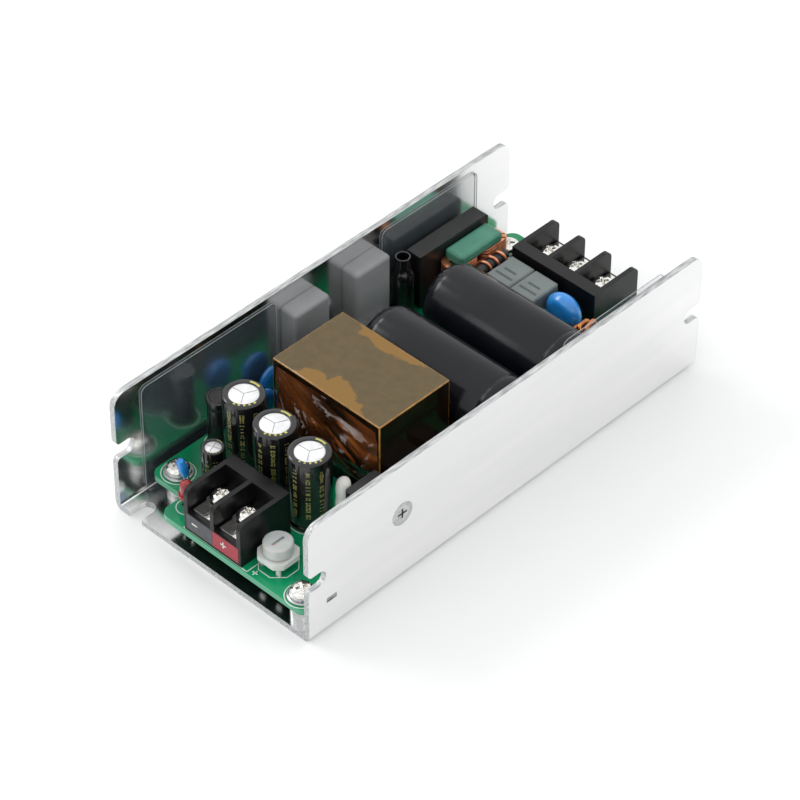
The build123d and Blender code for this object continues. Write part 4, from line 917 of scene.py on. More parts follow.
@dataclass
class UprightCan:
    """A small electrolytic can on end: sleeve, pressed lid with score lines, and printed marks."""

    node: str
    scores: tuple[float, ...] = (95.0, 215.0, 335.0)
    score_size: Pair = (0.12, 0.11)
    columns: tuple[float, ...] = (-40.0, -4.0, 32.0)
    lid_share: float = 0.7
    lid_drop: float = 0.12
    lid_flat: float = 0.9
    shoulder: float = 0.9
    stand: float = 0.1
    mouth: float = 0.35
    groove: Pair = (0.35, 1.1)
    groove_edge: float = 0.2
    lead_pitch: float = 5.0
    facing: float = 224.0
    print_top: Pair = (2.0, 2.6)
    print_foot: float = 0.22
    bar_heights: Point = (0.16, 0.2, 0.26)
    bar_halves: Point = (0.35, 0.5, 0.55)
    bar_gaps: tuple[float, ...] = (0.16, 0.2, 0.24, 0.24, 0.75)
    broken: float = 0.55
    break_half: float = 0.12
    rim_mark: Pair = (-14.0, 26.0)
    rim_band: Pair = (0.25, 0.2)
    rim_fall: float = 0.42
    dashes: tuple[float, ...] = (-34.0, -17.0, 0.0, 17.0, 34.0)
    dash: Pair = (5.0, 9.0)
    seed: int = 3

    def build(self, board_top: float) -> None:
        """Build the can that replaces its CAD node.

        Args:
            board_top: Height of the board's upper face.
        """
        box = Box.of(self.node)
        form = Form()
        self.sleeve(form, box, board_top)
        self.lid(form, box)
        self.print_marks(form, box, board_top)
        form.lead_pair(box.x, box.y, self.lead_pitch, board_top + BURY, box.low.z)
        form.piece(f"{self.node}_can", "can_sleeve", [self.node], smooth=40.0)

    def sleeve(self, form: Form, box: Box, foot: float) -> None:
        """Spin the sleeve with its rolled groove and rounded shoulder.

        Args:
            form: Form that takes it.
            box: The can's box.
            foot: Height of the board under it.
        """
        deep, at = self.groove
        radius, height = box.radius, box.high.z - foot
        lip = radius * self.lid_share
        profile = [
            (lip, self.stand), (radius, self.stand), (radius, at), (radius - deep, at + deep),
            (radius, at + 2 * deep + self.groove_edge), (radius, height), (lip + 0.1, height),
            (lip, height - self.mouth),
        ]
        soft = rounded(profile[:5], 0.25) + rounded(profile[4:], self.shoulder, 5)[1:]
        ends = (0.0, self.stand), (0.0, height - self.mouth - 0.05)
        form.turned([ends[0], *soft, ends[1]], CAN_SLEEVE, (box.x, box.y, foot))

    def lid(self, form: Form, box: Box) -> None:
        """Lay the lid into the sleeve's mouth, with its pressed score lines drawn as strips of painted shade.

        Args:
            form: Form that takes it.
            box: The can's box.
        """
        reach, drop = box.radius * self.lid_share - 0.05, self.lid_drop
        flat = reach * self.lid_flat
        profile = [(0, -drop), (flat, -drop - 0.04), (reach, -drop - 0.18), (reach, -drop - 0.48)]
        form.turned(profile, CAN_LID, (box.x, box.y, box.high.z))
        # painted shade: each score line is a thin dark strip standing on the lid
        wide, tall = self.score_size
        lift = 0.03 - drop
        for angle in self.scores:
            turn = Matrix.Rotation(math.radians(angle), 4, "Z")
            turn = Matrix.Translation((box.x, box.y, box.high.z)) @ turn
            form.slab((0.02, flat), (-wide / 2, wide / 2), (lift - tall, lift), LID_SCORE_PAINTED_SHADE, turn=turn)

    def print_marks(self, form: Form, box: Box, foot: float) -> None:
        """Print short bars in columns down the sleeve, and a field and dashes on the shoulder.

        Args:
            form: Form that takes them.
            box: The can's box.
            foot: Height of the board under it.
        """
        draw = random.Random(self.seed)
        per_mm = 180 / math.pi / box.radius
        height = box.high.z - foot
        for offset in self.columns:
            z = foot + height - draw.uniform(*self.print_top)
            while z > foot + height * self.print_foot:
                tall = draw.choice(self.bar_heights)
                half = draw.choice(self.bar_halves) * per_mm
                angle = self.facing + offset
                spans = [(-half, half)]
                if draw.random() < self.broken:
                    gap = self.break_half * per_mm
                    spans = [(-half, -gap), (gap, half)]
                for start, end in spans:
                    self.bar(form, box, (angle + start, angle + end), (z - tall, z))
                z -= tall + draw.choice(self.bar_gaps)
        self.arc(form, box, self.rim_mark)
        for offset in self.dashes:
            angle = self.facing + offset
            self.arc(form, box, (angle, angle + draw.uniform(*self.dash)))

    def bar(self, form: Form, box: Box, turn: Pair, z: Pair) -> None:
        """Print one bar on the side of the sleeve.

        Args:
            form: Form that takes it.
            box: The can's box.
            turn: Angles in degrees between which it lies.
            z: Its lower and upper edge.
        """
        part = bmesh.new()
        bmesh.ops.create_grid(part, x_segments=3, y_segments=1, size=0.5)
        reach = box.radius + INK_LIFT
        for vert in part.verts:
            angle = math.radians(turn[0] + (turn[1] - turn[0]) * (vert.co.x + 0.5))
            height = z[0] + (z[1] - z[0]) * (vert.co.y + 0.5)
            vert.co = (box.x + reach * math.cos(angle), box.y + reach * math.sin(angle), height)
        form.take(part, SLEEVE_INK)

    def arc(self, form: Form, box: Box, turn: Pair) -> None:
        """Print one field on the flat of the shoulder.

        Args:
            form: Form that takes it.
            box: The can's box.
            turn: Angles in degrees between which it lies.
        """
        part = bmesh.new()
        bmesh.ops.create_grid(part, x_segments=6, y_segments=3, size=0.5)
        inner, outer = box.radius * self.lid_share + self.rim_band[0], box.radius - self.rim_band[1]
        for vert in part.verts:
            angle = math.radians(turn[0] + (turn[1] - turn[0]) * (vert.co.x + 0.5))
            reach = inner + (outer - inner) * (vert.co.y + 0.5)
            past = max(0.0, (reach - (box.radius - self.shoulder)) / self.shoulder)
            top = box.high.z + INK_LIFT - self.shoulder * self.rim_fall * past ** 2
            vert.co = (box.x + reach * math.cos(angle), box.y + reach * math.sin(angle), top)
        # painted light: the shoulder's ink is painted brighter than the same ink on the side
        form.take(part, RIM_INK_PAINTED_LIGHT)


@dataclass
class BulkCan:
    """A large can lying along Y: ribbed sleeve, rounded far end, bung and bent leads."""

    node: str
    length: float = 40.0
    near_end: tuple[Pair, ...] = ((-0.7, 0.0), (0.0, 1.2), (0.0, 2.4), (-0.35, 2.9), (0.0, 3.4))
    far_round: float = 4.6
    mouth_share: float = 0.66
    far_mouth: float = 3.6
    far_lip: Pair = (0.1, 0.5)
    lid_gap: float = 0.15
    lead_pitch: float = 7.5
    lead: float = 0.8
    lead_bend: float = 1.2
    folds: int = 9
    fold_drift: float = 1.5
    fold_depth: float = 0.2
    fold_reach: float = 6.0

    def build(self) -> None:
        """Build the can that replaces its CAD node."""
        box = Box.of(self.node)
        radius = box.radius
        x, z, start, end = box.x, box.high.z - radius, box.high.y - self.length, box.high.y
        form = Form()
        mouth = radius * self.mouth_share
        near = [(mouth, 0.3), *((radius + out, up) for out, up in self.near_end)]
        inner, spring = radius - self.far_round, self.length - self.far_round
        dome = [
            (inner + self.far_round * math.cos(a), spring + self.far_round * math.sin(a)) for a in quarter(12)
        ]
        lip, floor = self.far_mouth - self.far_lip[0], self.length - self.far_lip[1]
        profile = [(0, 0.6), *rounded(near, 0.5), *dome]
        profile += [(self.far_mouth, self.length), (lip, floor), (0, floor)]
        form.turned(profile, BULK_SLEEVE, (x, start, z), Axis.Y, 64)
        self.crease(form, Vector((x, end, z)))
        lid = self.far_mouth - self.lid_gap
        form.turned([(0, -0.3), (lid * 0.9, -0.3), (lid, -0.48)], CAN_LID, (x, end, z), Axis.Y)
        form.turned([(mouth - 0.1, 0.5), (mouth * 0.85, 0.35), (0, 0.3)], BLACK_NYLON, (x, start, z), Axis.Y)
        for side in (-1, 1):
            px, bend = x + side * self.lead_pitch / 2, box.low.y + self.lead / 2
            line = rounded([(px, start + 1, z), (px, bend, z), (px, bend, box.low.z)], self.lead_bend)
            form.wire(line, self.lead, TINNED)
        form.piece(f"{self.node}_can", "bulk_sleeve", [self.node], smooth=40.0)

    def crease(self, form: Form, end: Vector) -> None:
        """Draw the sleeve into shallow folds where it shrank over the far end.

        Args:
            form: Form that holds the sleeve.
            end: Middle of the far end.
        """
        for vert in form.mesh.verts:
            near_end = 1 - (end.y - vert.co.y) / self.fold_reach
            if near_end <= 0:
                continue
            out = Vector((vert.co.x - end.x, 0.0, vert.co.z - end.z))
            angle = math.atan2(out.z, out.x)
            wave = max(0.0, math.cos(self.folds * angle + self.fold_drift * math.sin(2 * angle))) ** 3
            vert.co -= out.normalized() * self.fold_depth * wave * near_end


@dataclass
class TransformerWrap:
    """The tape round the transformer: flat lid, sides in painted shade, amber rims and crumpled ends."""

    tape: float = 0.3
    rim: float = 0.28
    bulge: float = 2.4
    bulge_power: float = 2.5
    back_share: float = 0.5
    coil_middle: float = 16.8
    coil_spread: float = 5.0
    lid_gap: float = 0.9
    lid_fade: float = 7.0
    facet: float = 0.5
    jog: float = 0.05
    margin: Pair = (0.8, 0.6)
    tuck: float = 0.12
    border: float = 2.2
    fold_depths: Pair = (1.0, 0.3)
    fold_slope: float = 2.4
    fold_length: float = 24.0
    fold_fade: Pair = (16.0, 8.0)
    fan: Pair = (25.0, 33.0)
    fan_folds: float = 10.0
    fine_fan: float = 1.5
    fold_noise: Pair = (3.1, 7.3)
    seed: int = 11

    def build(self) -> None:
        """Build the wrap that replaces the tape's CAD node."""
        low, high = Box.of("transformer_core_lower").low, Box.of("transformer_core_upper").high
        x = (low.x - self.tape, high.x + self.tape)
        y = (low.y - self.tape, high.y + self.tape)
        z = (low.z, high.z + self.tape)
        form = Form()
        self.shell(form, x, y, z)
        for face, out in ((x[0], -1), (x[1], 1)):
            self.crumple(form, face, out, y, (z[0], z[1] - self.lid_gap))
        form.piece("transformer_wrap", "amber_tape", ["transformer_tape"], smooth=50.0)

    def shell(self, form: Form, x: Pair, y: Pair, z: Pair) -> None:
        """Make the flat faces and their amber rims.

        Args:
            form: Form that takes them.
            x: Span along X.
            y: Span along Y.
            z: Span along Z.
        """
        part = block(x, y, z)
        edges = [e for e in part.edges if max(v.co.z for v in e.verts) > z[0] + 1]
        made = bevel(part, edges, self.rim, 2)
        part.faces.index_update()
        part.normal_update()
        rims = {face.index for face in made if max(abs(c) for c in face.normal) < 0.99}
        lids = {face.index for face in part.faces if face.normal.z > 0.99}
        rest = {face.index for face in part.faces} - rims - lids
        # painted shade: every face but the lid and the rims takes the near-black side colour
        for wanted, finish in ((lids, TAPE_TOP), (rest, TAPE_SIDE_PAINTED_SHADE), (rims, TAPE_RIM)):
            share = part.copy()
            share.faces.ensure_lookup_table()
            bmesh.ops.delete(share, geom=[f for f in share.faces if f.index not in wanted], context="FACES")
            form.take(share, finish)
        part.free()

    def crumple(self, form: Form, face: float, out: int, y: Pair, z: Pair) -> None:
        """Lay a crumpled sheet over the coil's end.

        Args:
            form: Form that takes the sheet.
            face: X of the flat face behind it.
            out: Which way it bulges along X.
            y: Its span across.
            z: Its span in height.
        """
        draw = random.Random(self.seed + out)
        across, up = int((y[1] - y[0]) / self.facet), int((z[1] - z[0]) / self.facet)
        part = bmesh.new()
        bmesh.ops.create_grid(part, x_segments=across, y_segments=up, size=0.5)
        wide, tall = y[1] - y[0] - self.margin[0], z[1] - z[0] - self.margin[1]
        for vert in part.verts:
            inward = min((0.5 - abs(vert.co.x)) * wide, (0.5 - abs(vert.co.y)) * tall)
            jog = self.facet * self.jog * min(1.0, inward)
            py = sum(y) / 2 + vert.co.x * wide + draw.uniform(-jog, jog)
            pz = sum(z) / 2 + vert.co.y * tall + draw.uniform(-jog, jog)
            rise = self.swell(py, pz, y, z) + self.fold(py, pz, out)
            if out > 0:
                rise *= self.back_share
            lift = (rise + self.tuck) * min(1.0, inward / self.border) - self.tuck
            vert.co = (face + out * lift, py, pz)
        bmesh.ops.triangulate(part, faces=part.faces[:])
        bmesh.ops.recalc_face_normals(part, faces=part.faces)
        if sum(f.normal.x for f in part.faces) * out < 0:
            bmesh.ops.reverse_faces(part, faces=part.faces)
        form.take(part, TAPE_FOLD)

    def swell(self, y: float, z: float, y_span: Pair, z_span: Pair) -> float:
        """Work out how far the sheet stands out over the coil at a place.

        Args:
            y: The place across.
            z: Its height.
            y_span: The sheet's span across.
            z_span: Its span in height.

        Returns:
            The distance in millimetres.
        """
        side = 1 - abs((y - sum(y_span) / 2) / ((y_span[1] - y_span[0]) / 2)) ** self.bulge_power
        top = min(1.0, (z_span[1] - z) / self.lid_fade)
        return self.bulge * side * top * math.exp(-((z - self.coil_middle) / self.coil_spread) ** 2)

    def fold(self, y: float, z: float, out: int) -> float:
        """Work out the height of the folds at a place: sharp ridges that fan out from the far top corner.

        Args:
            y: The place across.
            z: Its height.
            out: Which way the sheet bulges along X.

        Returns:
            The height in millimetres.
        """
        across, down = self.fan[0] - y, self.fan[1] - z
        reach, angle = math.hypot(across, down), math.atan2(down, across)
        place = Vector((reach / self.fold_length, angle * self.fan_folds, self.fold_noise[0] * out))
        finer = Vector((place.x, place.y * self.fine_fan, place.z + self.fold_noise[1]))
        flat = min(1.0, down / self.fold_fade[1]) * min(1.0, across / self.fold_fade[0])
        ridges = (1 - self.fold_slope * abs(noise.noise(at)) for at in (place, finer))
        return flat * sum(depth * max(0.0, ridge) for depth, ridge in zip(self.fold_depths, ridges))


@dataclass
class RingChoke:
    """Flat copper wound on edge round both upright legs of the green ring, under its yokes."""

    strip: Pair = (1.9, 0.62)
    strip_edge: float = 0.14
    pitch: float = 0.8
    corner: float = 2.7
    leg_foot: float = 4.2
    top_gap: Pair = (0.3, 0.15)
    former_gap: float = 0.1
    former_foot: float = 0.8
    former_edge: float = 0.3
    lead: float = 0.8
    lead_inset: float = 1.2
    wave: float = 0.12
    seed: int = 4

    def build(self, frame: dict) -> None:
        """Build the coils that replace the windings' CAD node.

        Args:
            frame: The loaded frame.
        """
        draw = random.Random(self.seed)
        form = Form()
        for leg in separate_boxes(frame, "ring_choke_windings"):
            low, high = leg.low, leg.high
            turns = int((high.z - self.top_gap[0] - (low.z + self.leg_foot)) / self.pitch)
            for n in range(turns + 1):
                z = high.z - self.top_gap[1] - self.strip[1] - n * self.pitch
                shift = draw.uniform(-self.wave, 0.0)
                self.loop(form, (low.x - shift, high.x + shift), (low.y, high.y), z)
            inset, foot = self.strip[0] - self.former_gap, high.z - turns * self.pitch
            x, y = (low.x + inset, high.x - inset), (low.y + inset, high.y - inset)
            z = (foot - self.former_foot, high.z - self.former_gap)
            form.slab(x, y, z, BLACK_NYLON, self.former_edge)
            for y in (low.y + self.lead_inset, high.y - self.lead_inset):
                form.lead(leg.x, y, foot, low.z, self.lead)
        form.piece("ring_choke_coils", "copper_winding", ["ring_choke_windings"], smooth=50.0)

    def loop(self, form: Form, x: Pair, y: Pair, z: float) -> None:
        """Make one flat turn round its leg.

        Args:
            form: Form that takes it.
            x: Its outer span along X.
            y: Its outer span along Y.
            z: Height of its lower face.
        """
        wide, thick = self.strip
        middle = ((x[0] + x[1]) / 2, y[0])
        corners = [(x[1], y[0]), (x[1], y[1]), (x[0], y[1]), (x[0], y[0])]
        outline = rounded([middle, *corners, middle], self.corner, 7)
        part = bmesh.new()
        face = part.faces.new([part.verts.new((px, py, z)) for px, py in outline[:-1]])
        part.normal_update()
        ring = bmesh.ops.inset_region(
            part, faces=[face], thickness=wide, use_even_offset=True, use_boundary=True
        )["faces"]
        bmesh.ops.delete(part, geom=[face], context="FACES")
        raised = bmesh.ops.extrude_face_region(part, geom=ring)["geom"]
        tops = [item for item in raised if isinstance(item, bmesh.types.BMVert)]
        bmesh.ops.translate(part, vec=(0, 0, thick), verts=tops)
        bmesh.ops.recalc_face_normals(part, faces=part.faces)
        sharp = [e for e in part.edges if e.is_manifold and e.calc_face_angle(0.0) > 1.0]
        bevel(part, sharp, self.strip_edge, 2)
        form.take(part, COPPER)


@dataclass
class RodChoke:
    """A black ferrite rod with a few open turns of bare-looking copper."""

    turns: int = 3
    wire: float = 0.8
    end: float = 1.0
    rod_edge: float = 0.35
    leg_drop: float = 0.6
    steps: int = 20

    def build(self) -> None:
        """Build the rod and its helix, which replace both CAD nodes."""
        box = Box.of("rod_choke_core")
        length, radius = box.radius * 2, (box.high.y - box.low.y) / 2
        y, z = box.y, (box.low.z + box.high.z) / 2
        rod = Form()
        profile = rounded([(0, 0), (radius, 0), (radius, length), (0, length)], self.rod_edge)
        rod.turned(profile, FERRITE, (box.low.x, y, z), Axis.X, 32)
        rod.piece("rod_choke_rod", "ferrite", ["rod_choke_core"])
        coil = Form()
        start, span, reach = box.low.x + self.end, length - 2 * self.end, radius + self.wire / 2
        steps = self.turns * self.steps
        helix = []
        for step in range(steps + 1):
            angle = math.tau * step / self.steps - math.pi / 2
            across, up = reach * math.cos(angle), reach * math.sin(angle)
            helix.append((start + span * step / steps, y + across, z + up))
        knee, foot = z - reach - self.leg_drop, Box.of("rod_choke_winding").low.z
        line = [(start, y, foot), (start, y, knee), *helix, (start + span, y, knee), (start + span, y, foot)]
        coil.wire(line, self.wire, COPPER)
        coil.piece("rod_choke_coil", "copper_winding", ["rod_choke_winding"], smooth=60.0)


@dataclass
class Toroid:
    """Thick enamelled wire wound round the upright ring core."""

    turns: int = 14
    wire: float = 1.1
    lean: float = 0.22
    corner: float = 0.8
    core_inner: float = 2.7
    core_outer: float = 4.8
    core_half: float = 1.3
    lead_pitch: float = 5.0
    lead_top: float = 0.6

    def build(self) -> None:
        """Build the winding that replaces its CAD node."""
        core = Box.of("toroid_core")
        middle = (core.low + core.high) / 2
        form = Form()
        half, step = self.wire / 2, math.tau / self.turns
        inner, outer, side = self.core_inner - half, self.core_outer + half, self.core_half + half
        lean = step * self.lean
        corners = [(-side, -lean, inner), (-side, -lean, outer), (side, lean, outer), (side, lean, inner)]
        line = [Vector((cx, math.sin(a) * r, math.cos(a) * r)) for cx, a, r in corners]
        start = (line[0] + line[3]) / 2
        loop = rounded([start, *line, start], self.corner)[:-1]
        for n in range(self.turns):
            turn = Matrix.Translation(middle) @ Matrix.Rotation(step * (n + 0.5), 4, "X")
            form.wire([turn @ Vector(p) for p in loop], self.wire, ORANGE_COPPER, closed=True)
        top, foot = middle.z - self.core_outer + self.lead_top, Box.of("toroid_winding").low.z
        form.lead_pair(middle.x, middle.y, self.lead_pitch, top, foot, self.wire)
        form.piece("toroid_turns", "copper_winding", ["toroid_winding"], smooth=60.0)


@dataclass
class DippedPart:
    """A disc dipped in epoxy, thick in the middle, running thin down its leads."""

    node: str
    finish: Finish
    axis: Axis
    thick: float = 2.6
    diameter: float = 8.0
    shape: tuple[Pair, ...] = ((0.0, 1.0), (0.78, 0.9), (1.0, 0.25))
    lead_pitch: float = 5.0
    skirt: float = 1.6
    skirt_radii: Point = (0.36, 0.45, 0.85)
    shift: Point = (0.0, 0.0, 0.0)

    def build(self, board_top: float) -> None:
        """Build the part that replaces its CAD node.

        Args:
            board_top: Height of the board's upper face.
        """
        box = Box.of(self.node)
        radius, half = self.diameter / 2, self.thick / 2
        middle = Vector((box.x, box.y, box.high.z - radius)) + Vector(self.shift)
        form = Form()
        profile = [(radius * out, -half * up) for out, up in self.shape]
        profile += [(radius * out, half * up) for out, up in reversed(self.shape)]
        form.turned(rounded(profile, radius * 0.35, 6), self.finish, middle, self.axis, 48)
        thin, flare, wide = self.skirt_radii
        for side in (-1, 1):
            offset = side * self.lead_pitch / 2
            x, y = (middle.x + offset, middle.y) if self.axis is Axis.Y else (middle.x, middle.y + offset)
            top = middle.z - math.sqrt(radius**2 - offset**2) + BURY
            foot = max(board_top + 0.05, top - BURY - self.skirt)
            sheath = [(0, foot), (thin, foot), (flare, foot + 0.5), (wide, top), (0, top + 0.4)]
            form.turned(rounded(sheath, 0.3), self.finish, (x, y, 0.0), steps=16)
            form.lead(x, y, top, box.low.z)
        form.piece(f"{self.node}_dipped", "blue_epoxy", [self.node], smooth=60.0)


@dataclass
class BeadCapacitor:
    """The small blue capsule that stands beside the first board screw."""

    height: float = 5.2
    shape: tuple[Pair, ...] = ((0.0, 0.0), (0.6, 0.1), (0.9, 1.4), (1.0, 3.4), (0.7, 5.2), (0.0, 5.2))
    lead_pitch: float = 1.2
    lead_top: float = 1.0
    lean: float = 14.0
    lean_axis: Point = (-0.72, -0.69, 0.0)

    def build(self) -> None:
        """Build the capsule that replaces its CAD node."""
        box = Box.of("bead_capacitor")
        foot = Vector((box.x, box.y, box.high.z - self.height))
        form = Form()
        profile = [(box.radius * out, up) for out, up in self.shape]
        form.turned(rounded(profile, 1.2, 6), PALE_BLUE_DIP, foot, steps=32)
        lean = Matrix.Rotation(math.radians(self.lean), 3, self.lean_axis)
        for vert in form.mesh.verts:
            vert.co = foot + lean @ (vert.co - foot)
        form.lead_pair(box.x, box.y, self.lead_pitch, foot.z + self.lead_top, box.low.z)
        form.piece("bead_capacitor_dipped", "blue_epoxy", ["bead_capacitor"], smooth=60.0)


@dataclass
class StatusLed:
    """A round red indicator with its flange, on two leads."""

    flange: Pair = (0.4, 0.9)
    body: float = 4.6
    lead: float = 0.5
    lead_pitch: float = 2.54
    lead_top: float = 0.4

    def build(self) -> None:
        """Build the lens that replaces its CAD node."""
        box = Box.of("status_led")
        wide, thick = self.flange
        radius, foot = box.radius - wide, box.high.z - self.body
        spring = self.body - radius
        form = Form()
        dome = [(radius * math.cos(a), spring + radius * math.sin(a)) for a in quarter(8)]
        profile = [(0, 0), (box.radius, 0), (box.radius, thick), (radius, thick), *dome]
        form.turned(profile, RED_LENS, (box.x, box.y, foot), steps=40)
        form.lead_pair(box.x, box.y, self.lead_pitch, foot + self.lead_top, box.low.z, self.lead)
        form.piece("status_led_lens", "red_lens", ["status_led"], smooth=45.0)


@dataclass
class DrumChoke:
    """A drum choke in a shrunk sleeve, its ferrite flange showing on top."""

    waist: Pair = (0.2, 1.6)
    slope: float = 0.8
    mouth: Pair = (0.78, 0.76)
    mouth_depth: float = 0.25
    lead_pitch: float = 3.0

    def build(self, board_top: float) -> None:
        """Build the choke that replaces its CAD node.

        Args:
            board_top: Height of the board's upper face.
        """
        box = Box.of("drum_choke")
        radius, height = box.radius, box.high.z - board_top
        deep, rim = self.waist
        waist, floor = radius - deep, height - self.mouth_depth
        form = Form()
        profile = [
            (0, 0), (radius, 0), (radius, rim), (waist, rim + self.slope), (waist, height - rim - self.slope),
            (radius, height - rim), (radius, height), (radius * self.mouth[0], height),
            (radius * self.mouth[1], floor), (0, floor),
        ]
        form.turned(rounded(profile, 0.4, 4), CAN_SLEEVE, (box.x, box.y, board_top))
        flange = [(0, -0.08), (radius * 0.7, -0.1), (radius * 0.75, -0.3)]
        form.turned(flange, FERRITE, (box.x, box.y, box.high.z))
        form.lead_pair(box.x, box.y, self.lead_pitch, board_top + BURY, box.low.z)
        form.piece("drum_choke_sleeved", "can_sleeve", ["drum_choke"], smooth=40.0)


@dataclass
class FuseSleeve:
    """Shrunk tube over the standing fuse, necked in and left open at the top."""

    wall: float = 0.35
    neck: float = 3.7
    neck_height: float = 3.2
    shoulder: float = 1.6
    foot_edge: Pair = (0.15, 0.5)

    def build(self) -> None:
        """Build the tube that replaces its CAD node."""
        box = Box.of("fuse_sleeve")
        outer, height = box.radius, box.high.z - box.low.z
        neck, turn = self.neck / 2, height - self.neck_height
        foot, below = (outer - self.foot_edge[0], 0.0), turn - self.shoulder
        line = [foot, (outer, self.foot_edge[1]), (outer, below), (neck, turn), (neck, height)]
        bore, inner = outer - self.wall, neck - self.wall
        inside = [(inner, height), (inner, turn), (bore, below), (bore, 0.0)]
        form = Form()
        profile = rounded(line, 1.0) + rounded(inside, 0.6) + [foot]
        form.turned(profile, CAN_SLEEVE, (box.x, box.y, box.low.z), steps=40)
        ring = [(inner, 0.0), (neck - 0.02, 0.0), (neck - 0.08, 0.07), (inner + 0.05, 0.07), (inner, 0.0)]
        form.turned(ring, GREY_LABEL, (box.x, box.y, box.high.z - 0.02), steps=40)
        form.piece("fuse_sleeve_tube", "can_sleeve", ["fuse_sleeve"], smooth=40.0)


@dataclass
class SealantBlob:
    """White sealant pushed in between the third can and the output choke."""

    shape: tuple[Pair, ...] = ((0.0, 0.0), (1.0, 0.0), (0.96, 0.35), (0.98, 0.62), (0.82, 0.93), (0.0, 0.98))
    softness: float = 2.4
    foot: float = 0.2
    lumps: float = 0.4
    lump_size: float = 3.0

    def build(self) -> None:
        """Build the blob that replaces its CAD node."""
        box = Box.of("silicone_bead")
        middle, height = Vector((box.x, box.y, box.low.z)), box.high.z - box.low.z
        form = Form()
        profile = rounded([(box.radius * out, height * up) for out, up in self.shape], self.softness, 8)
        form.turned(profile, SEALANT, middle, steps=40)
        for vert in form.mesh.verts:
            if vert.co.z < box.low.z + self.foot:
                continue
            lump = noise.noise(vert.co / self.lump_size)
            out = Vector((vert.co.x - middle.x, vert.co.y - middle.y, 0.0)).normalized()
            vert.co += out * self.lumps * (lump - 0.2)
        form.piece("silicone_bead_lumpy", "white_sealant", ["silicone_bead"], smooth=70.0)


@dataclass
class PanScrews:
    """Pan-head screws with domed heads and cross recesses, on spring washers if asked."""

    screws: str
    name: str
    washers: str = ""
    finish: Finish = NICKEL
    dome: float = 1.5
    crown: float = 0.45
    recess: Point = (3.3, 0.75, 1.05)
    recess_foot: Pair = (0.4, 0.6)
    recess_mouth: Pair = (1.1, 1.1)
    recess_above: float = 0.4
    spring: Pair = (5.9, 0.75)
    spring_gap: float = 0.36
    flat: float = 0.45
    hole_gap: float = 0.15
    pitch: float = 0.5
    ridge: float = 0.25
    thread: float = 3.0
    seed: int = 5

    def build(self, frame: dict) -> None:
        """Build the screws and, if they have them, the washers that they hold down.

        Args:
            frame: The loaded frame.
        """
        form, tops = Form(), []
        draw = random.Random(self.seed)
        washers = separate_boxes(frame, self.washers) if self.washers else []
        for n, box in enumerate(separate_boxes(frame, self.screws)):
            seat = box.high.z - self.dome
            if washers:
                self.stack(form, box.x, box.y, washers[n], draw.uniform(0, 360))
            self.screw(form, Vector((box.x, box.y, seat)), box.radius, seat - box.low.z)
            tops.append(Vector((box.x, box.y, box.high.z)))
        replaced = [self.screws, self.washers] if self.washers else [self.screws]
        made = form.piece(self.name, "plated_steel", replaced, smooth=32.0)
        self.cut(made, tops, draw)

    def stack(self, form: Form, x: float, y: float, box: Box, gap: float) -> None:
        """Lay a flat washer and a spring washer on it, its split drawn as a slab of painted shade.

        Args:
            form: Form that takes them.
            x: Place along X.
            y: Place along Y.
            box: The flat washer's box.
            gap: Which way the spring washer's split points, in degrees.
        """
        inner = self.thread / 2 + self.hole_gap
        radius, thick = self.spring[0] / 2, self.spring[1]
        top = box.low.z + self.flat
        for outer, foot, lid, soft in ((box.radius, box.low.z, top, 0.1), (radius, top, top + thick, 0.12)):
            ring = [(inner, foot), (outer, foot), (outer, lid), (inner, lid), (inner, foot)]
            form.turned(rounded(ring, soft, 2), ZINC, (x, y, 0.0))
        turn = Matrix.Translation((x, y, 0.0)) @ Matrix.Rotation(math.radians(gap), 4, "Z")
        half = self.spring_gap / 2
        # painted shade: a dark slab through the whole spring washer stands for its split
        split = ((inner, radius + 0.02), (-half, half), (top + 0.05, top + thick + 0.02))
        form.slab(*split, LID_SCORE_PAINTED_SHADE, turn=turn)

    def screw(self, form: Form, seat: Vector, radius: float, depth: float) -> None:
        """Spin one screw from its threaded end up to its crown.

        Args:
            form: Form that takes it.
            seat: Middle of the head's underside.
            radius: The head's radius.
            depth: Length of the thread.
        """
        outer, height = self.thread / 2 - 0.05, self.dome
        ridges = []
        for n in range(int(depth / self.pitch)):
            foot = -depth + n * self.pitch
            ridges += [(outer - self.ridge, foot), (outer, foot + self.pitch / 2)]
        shape = [
            (radius - 0.1, 0), (radius, height * 0.35), (radius * 0.8, height * 0.86),
            (radius * self.crown, height), (0, height),
        ]
        profile = [(0, -depth), *ridges, (outer, 0), *rounded(shape, 0.9, 5)]
        form.turned(profile, self.finish, seat, steps=40)

    def cut(self, made: bpy.types.Object, tops: Sequence[Vector], draw: random.Random) -> None:
        """Cut a tapered cross into each head.

        Args:
            made: The finished piece, whose mesh is exchanged for the cut one.
            tops: Crown of each head.
            draw: Source of each cross's turn.
        """
        length, width, deep = self.recess
        tool = Form()
        for top in tops:
            spin = math.radians(draw.uniform(0, 90))
            for quarter_turn in (0, math.pi / 2):
                part = bmesh.new()
                bmesh.ops.create_cube(part, size=1.0)
                for vert in part.verts:
                    long, wide = self.recess_foot if vert.co.z < 0 else self.recess_mouth
                    height = -deep if vert.co.z < 0 else self.recess_above
                    vert.co = (vert.co.x * length * long, vert.co.y * width * wide, height)
                place = Matrix.Translation(top) @ Matrix.Rotation(spin + quarter_turn, 4, "Z")
                tool.take(part, self.finish, place)
        cutter = tool.piece(f"{self.name}_cutter", "plated_steel", smooth=None)
        carve = made.modifiers.new("cross recess", "BOOLEAN")
        carve.object = cutter
        carve.solver = "EXACT"
        carve.use_self = True
        graph = bpy.context.evaluated_depsgraph_get()
        cut = bpy.data.meshes.new_from_object(made.evaluated_get(graph))
        made.modifiers.clear()
        old, made.data = made.data, cut
        bpy.data.meshes.remove(old)
        bpy.data.objects.remove(cutter)
        LOG.info("%s: %d faces with its recesses", self.name, len(cut.polygons))


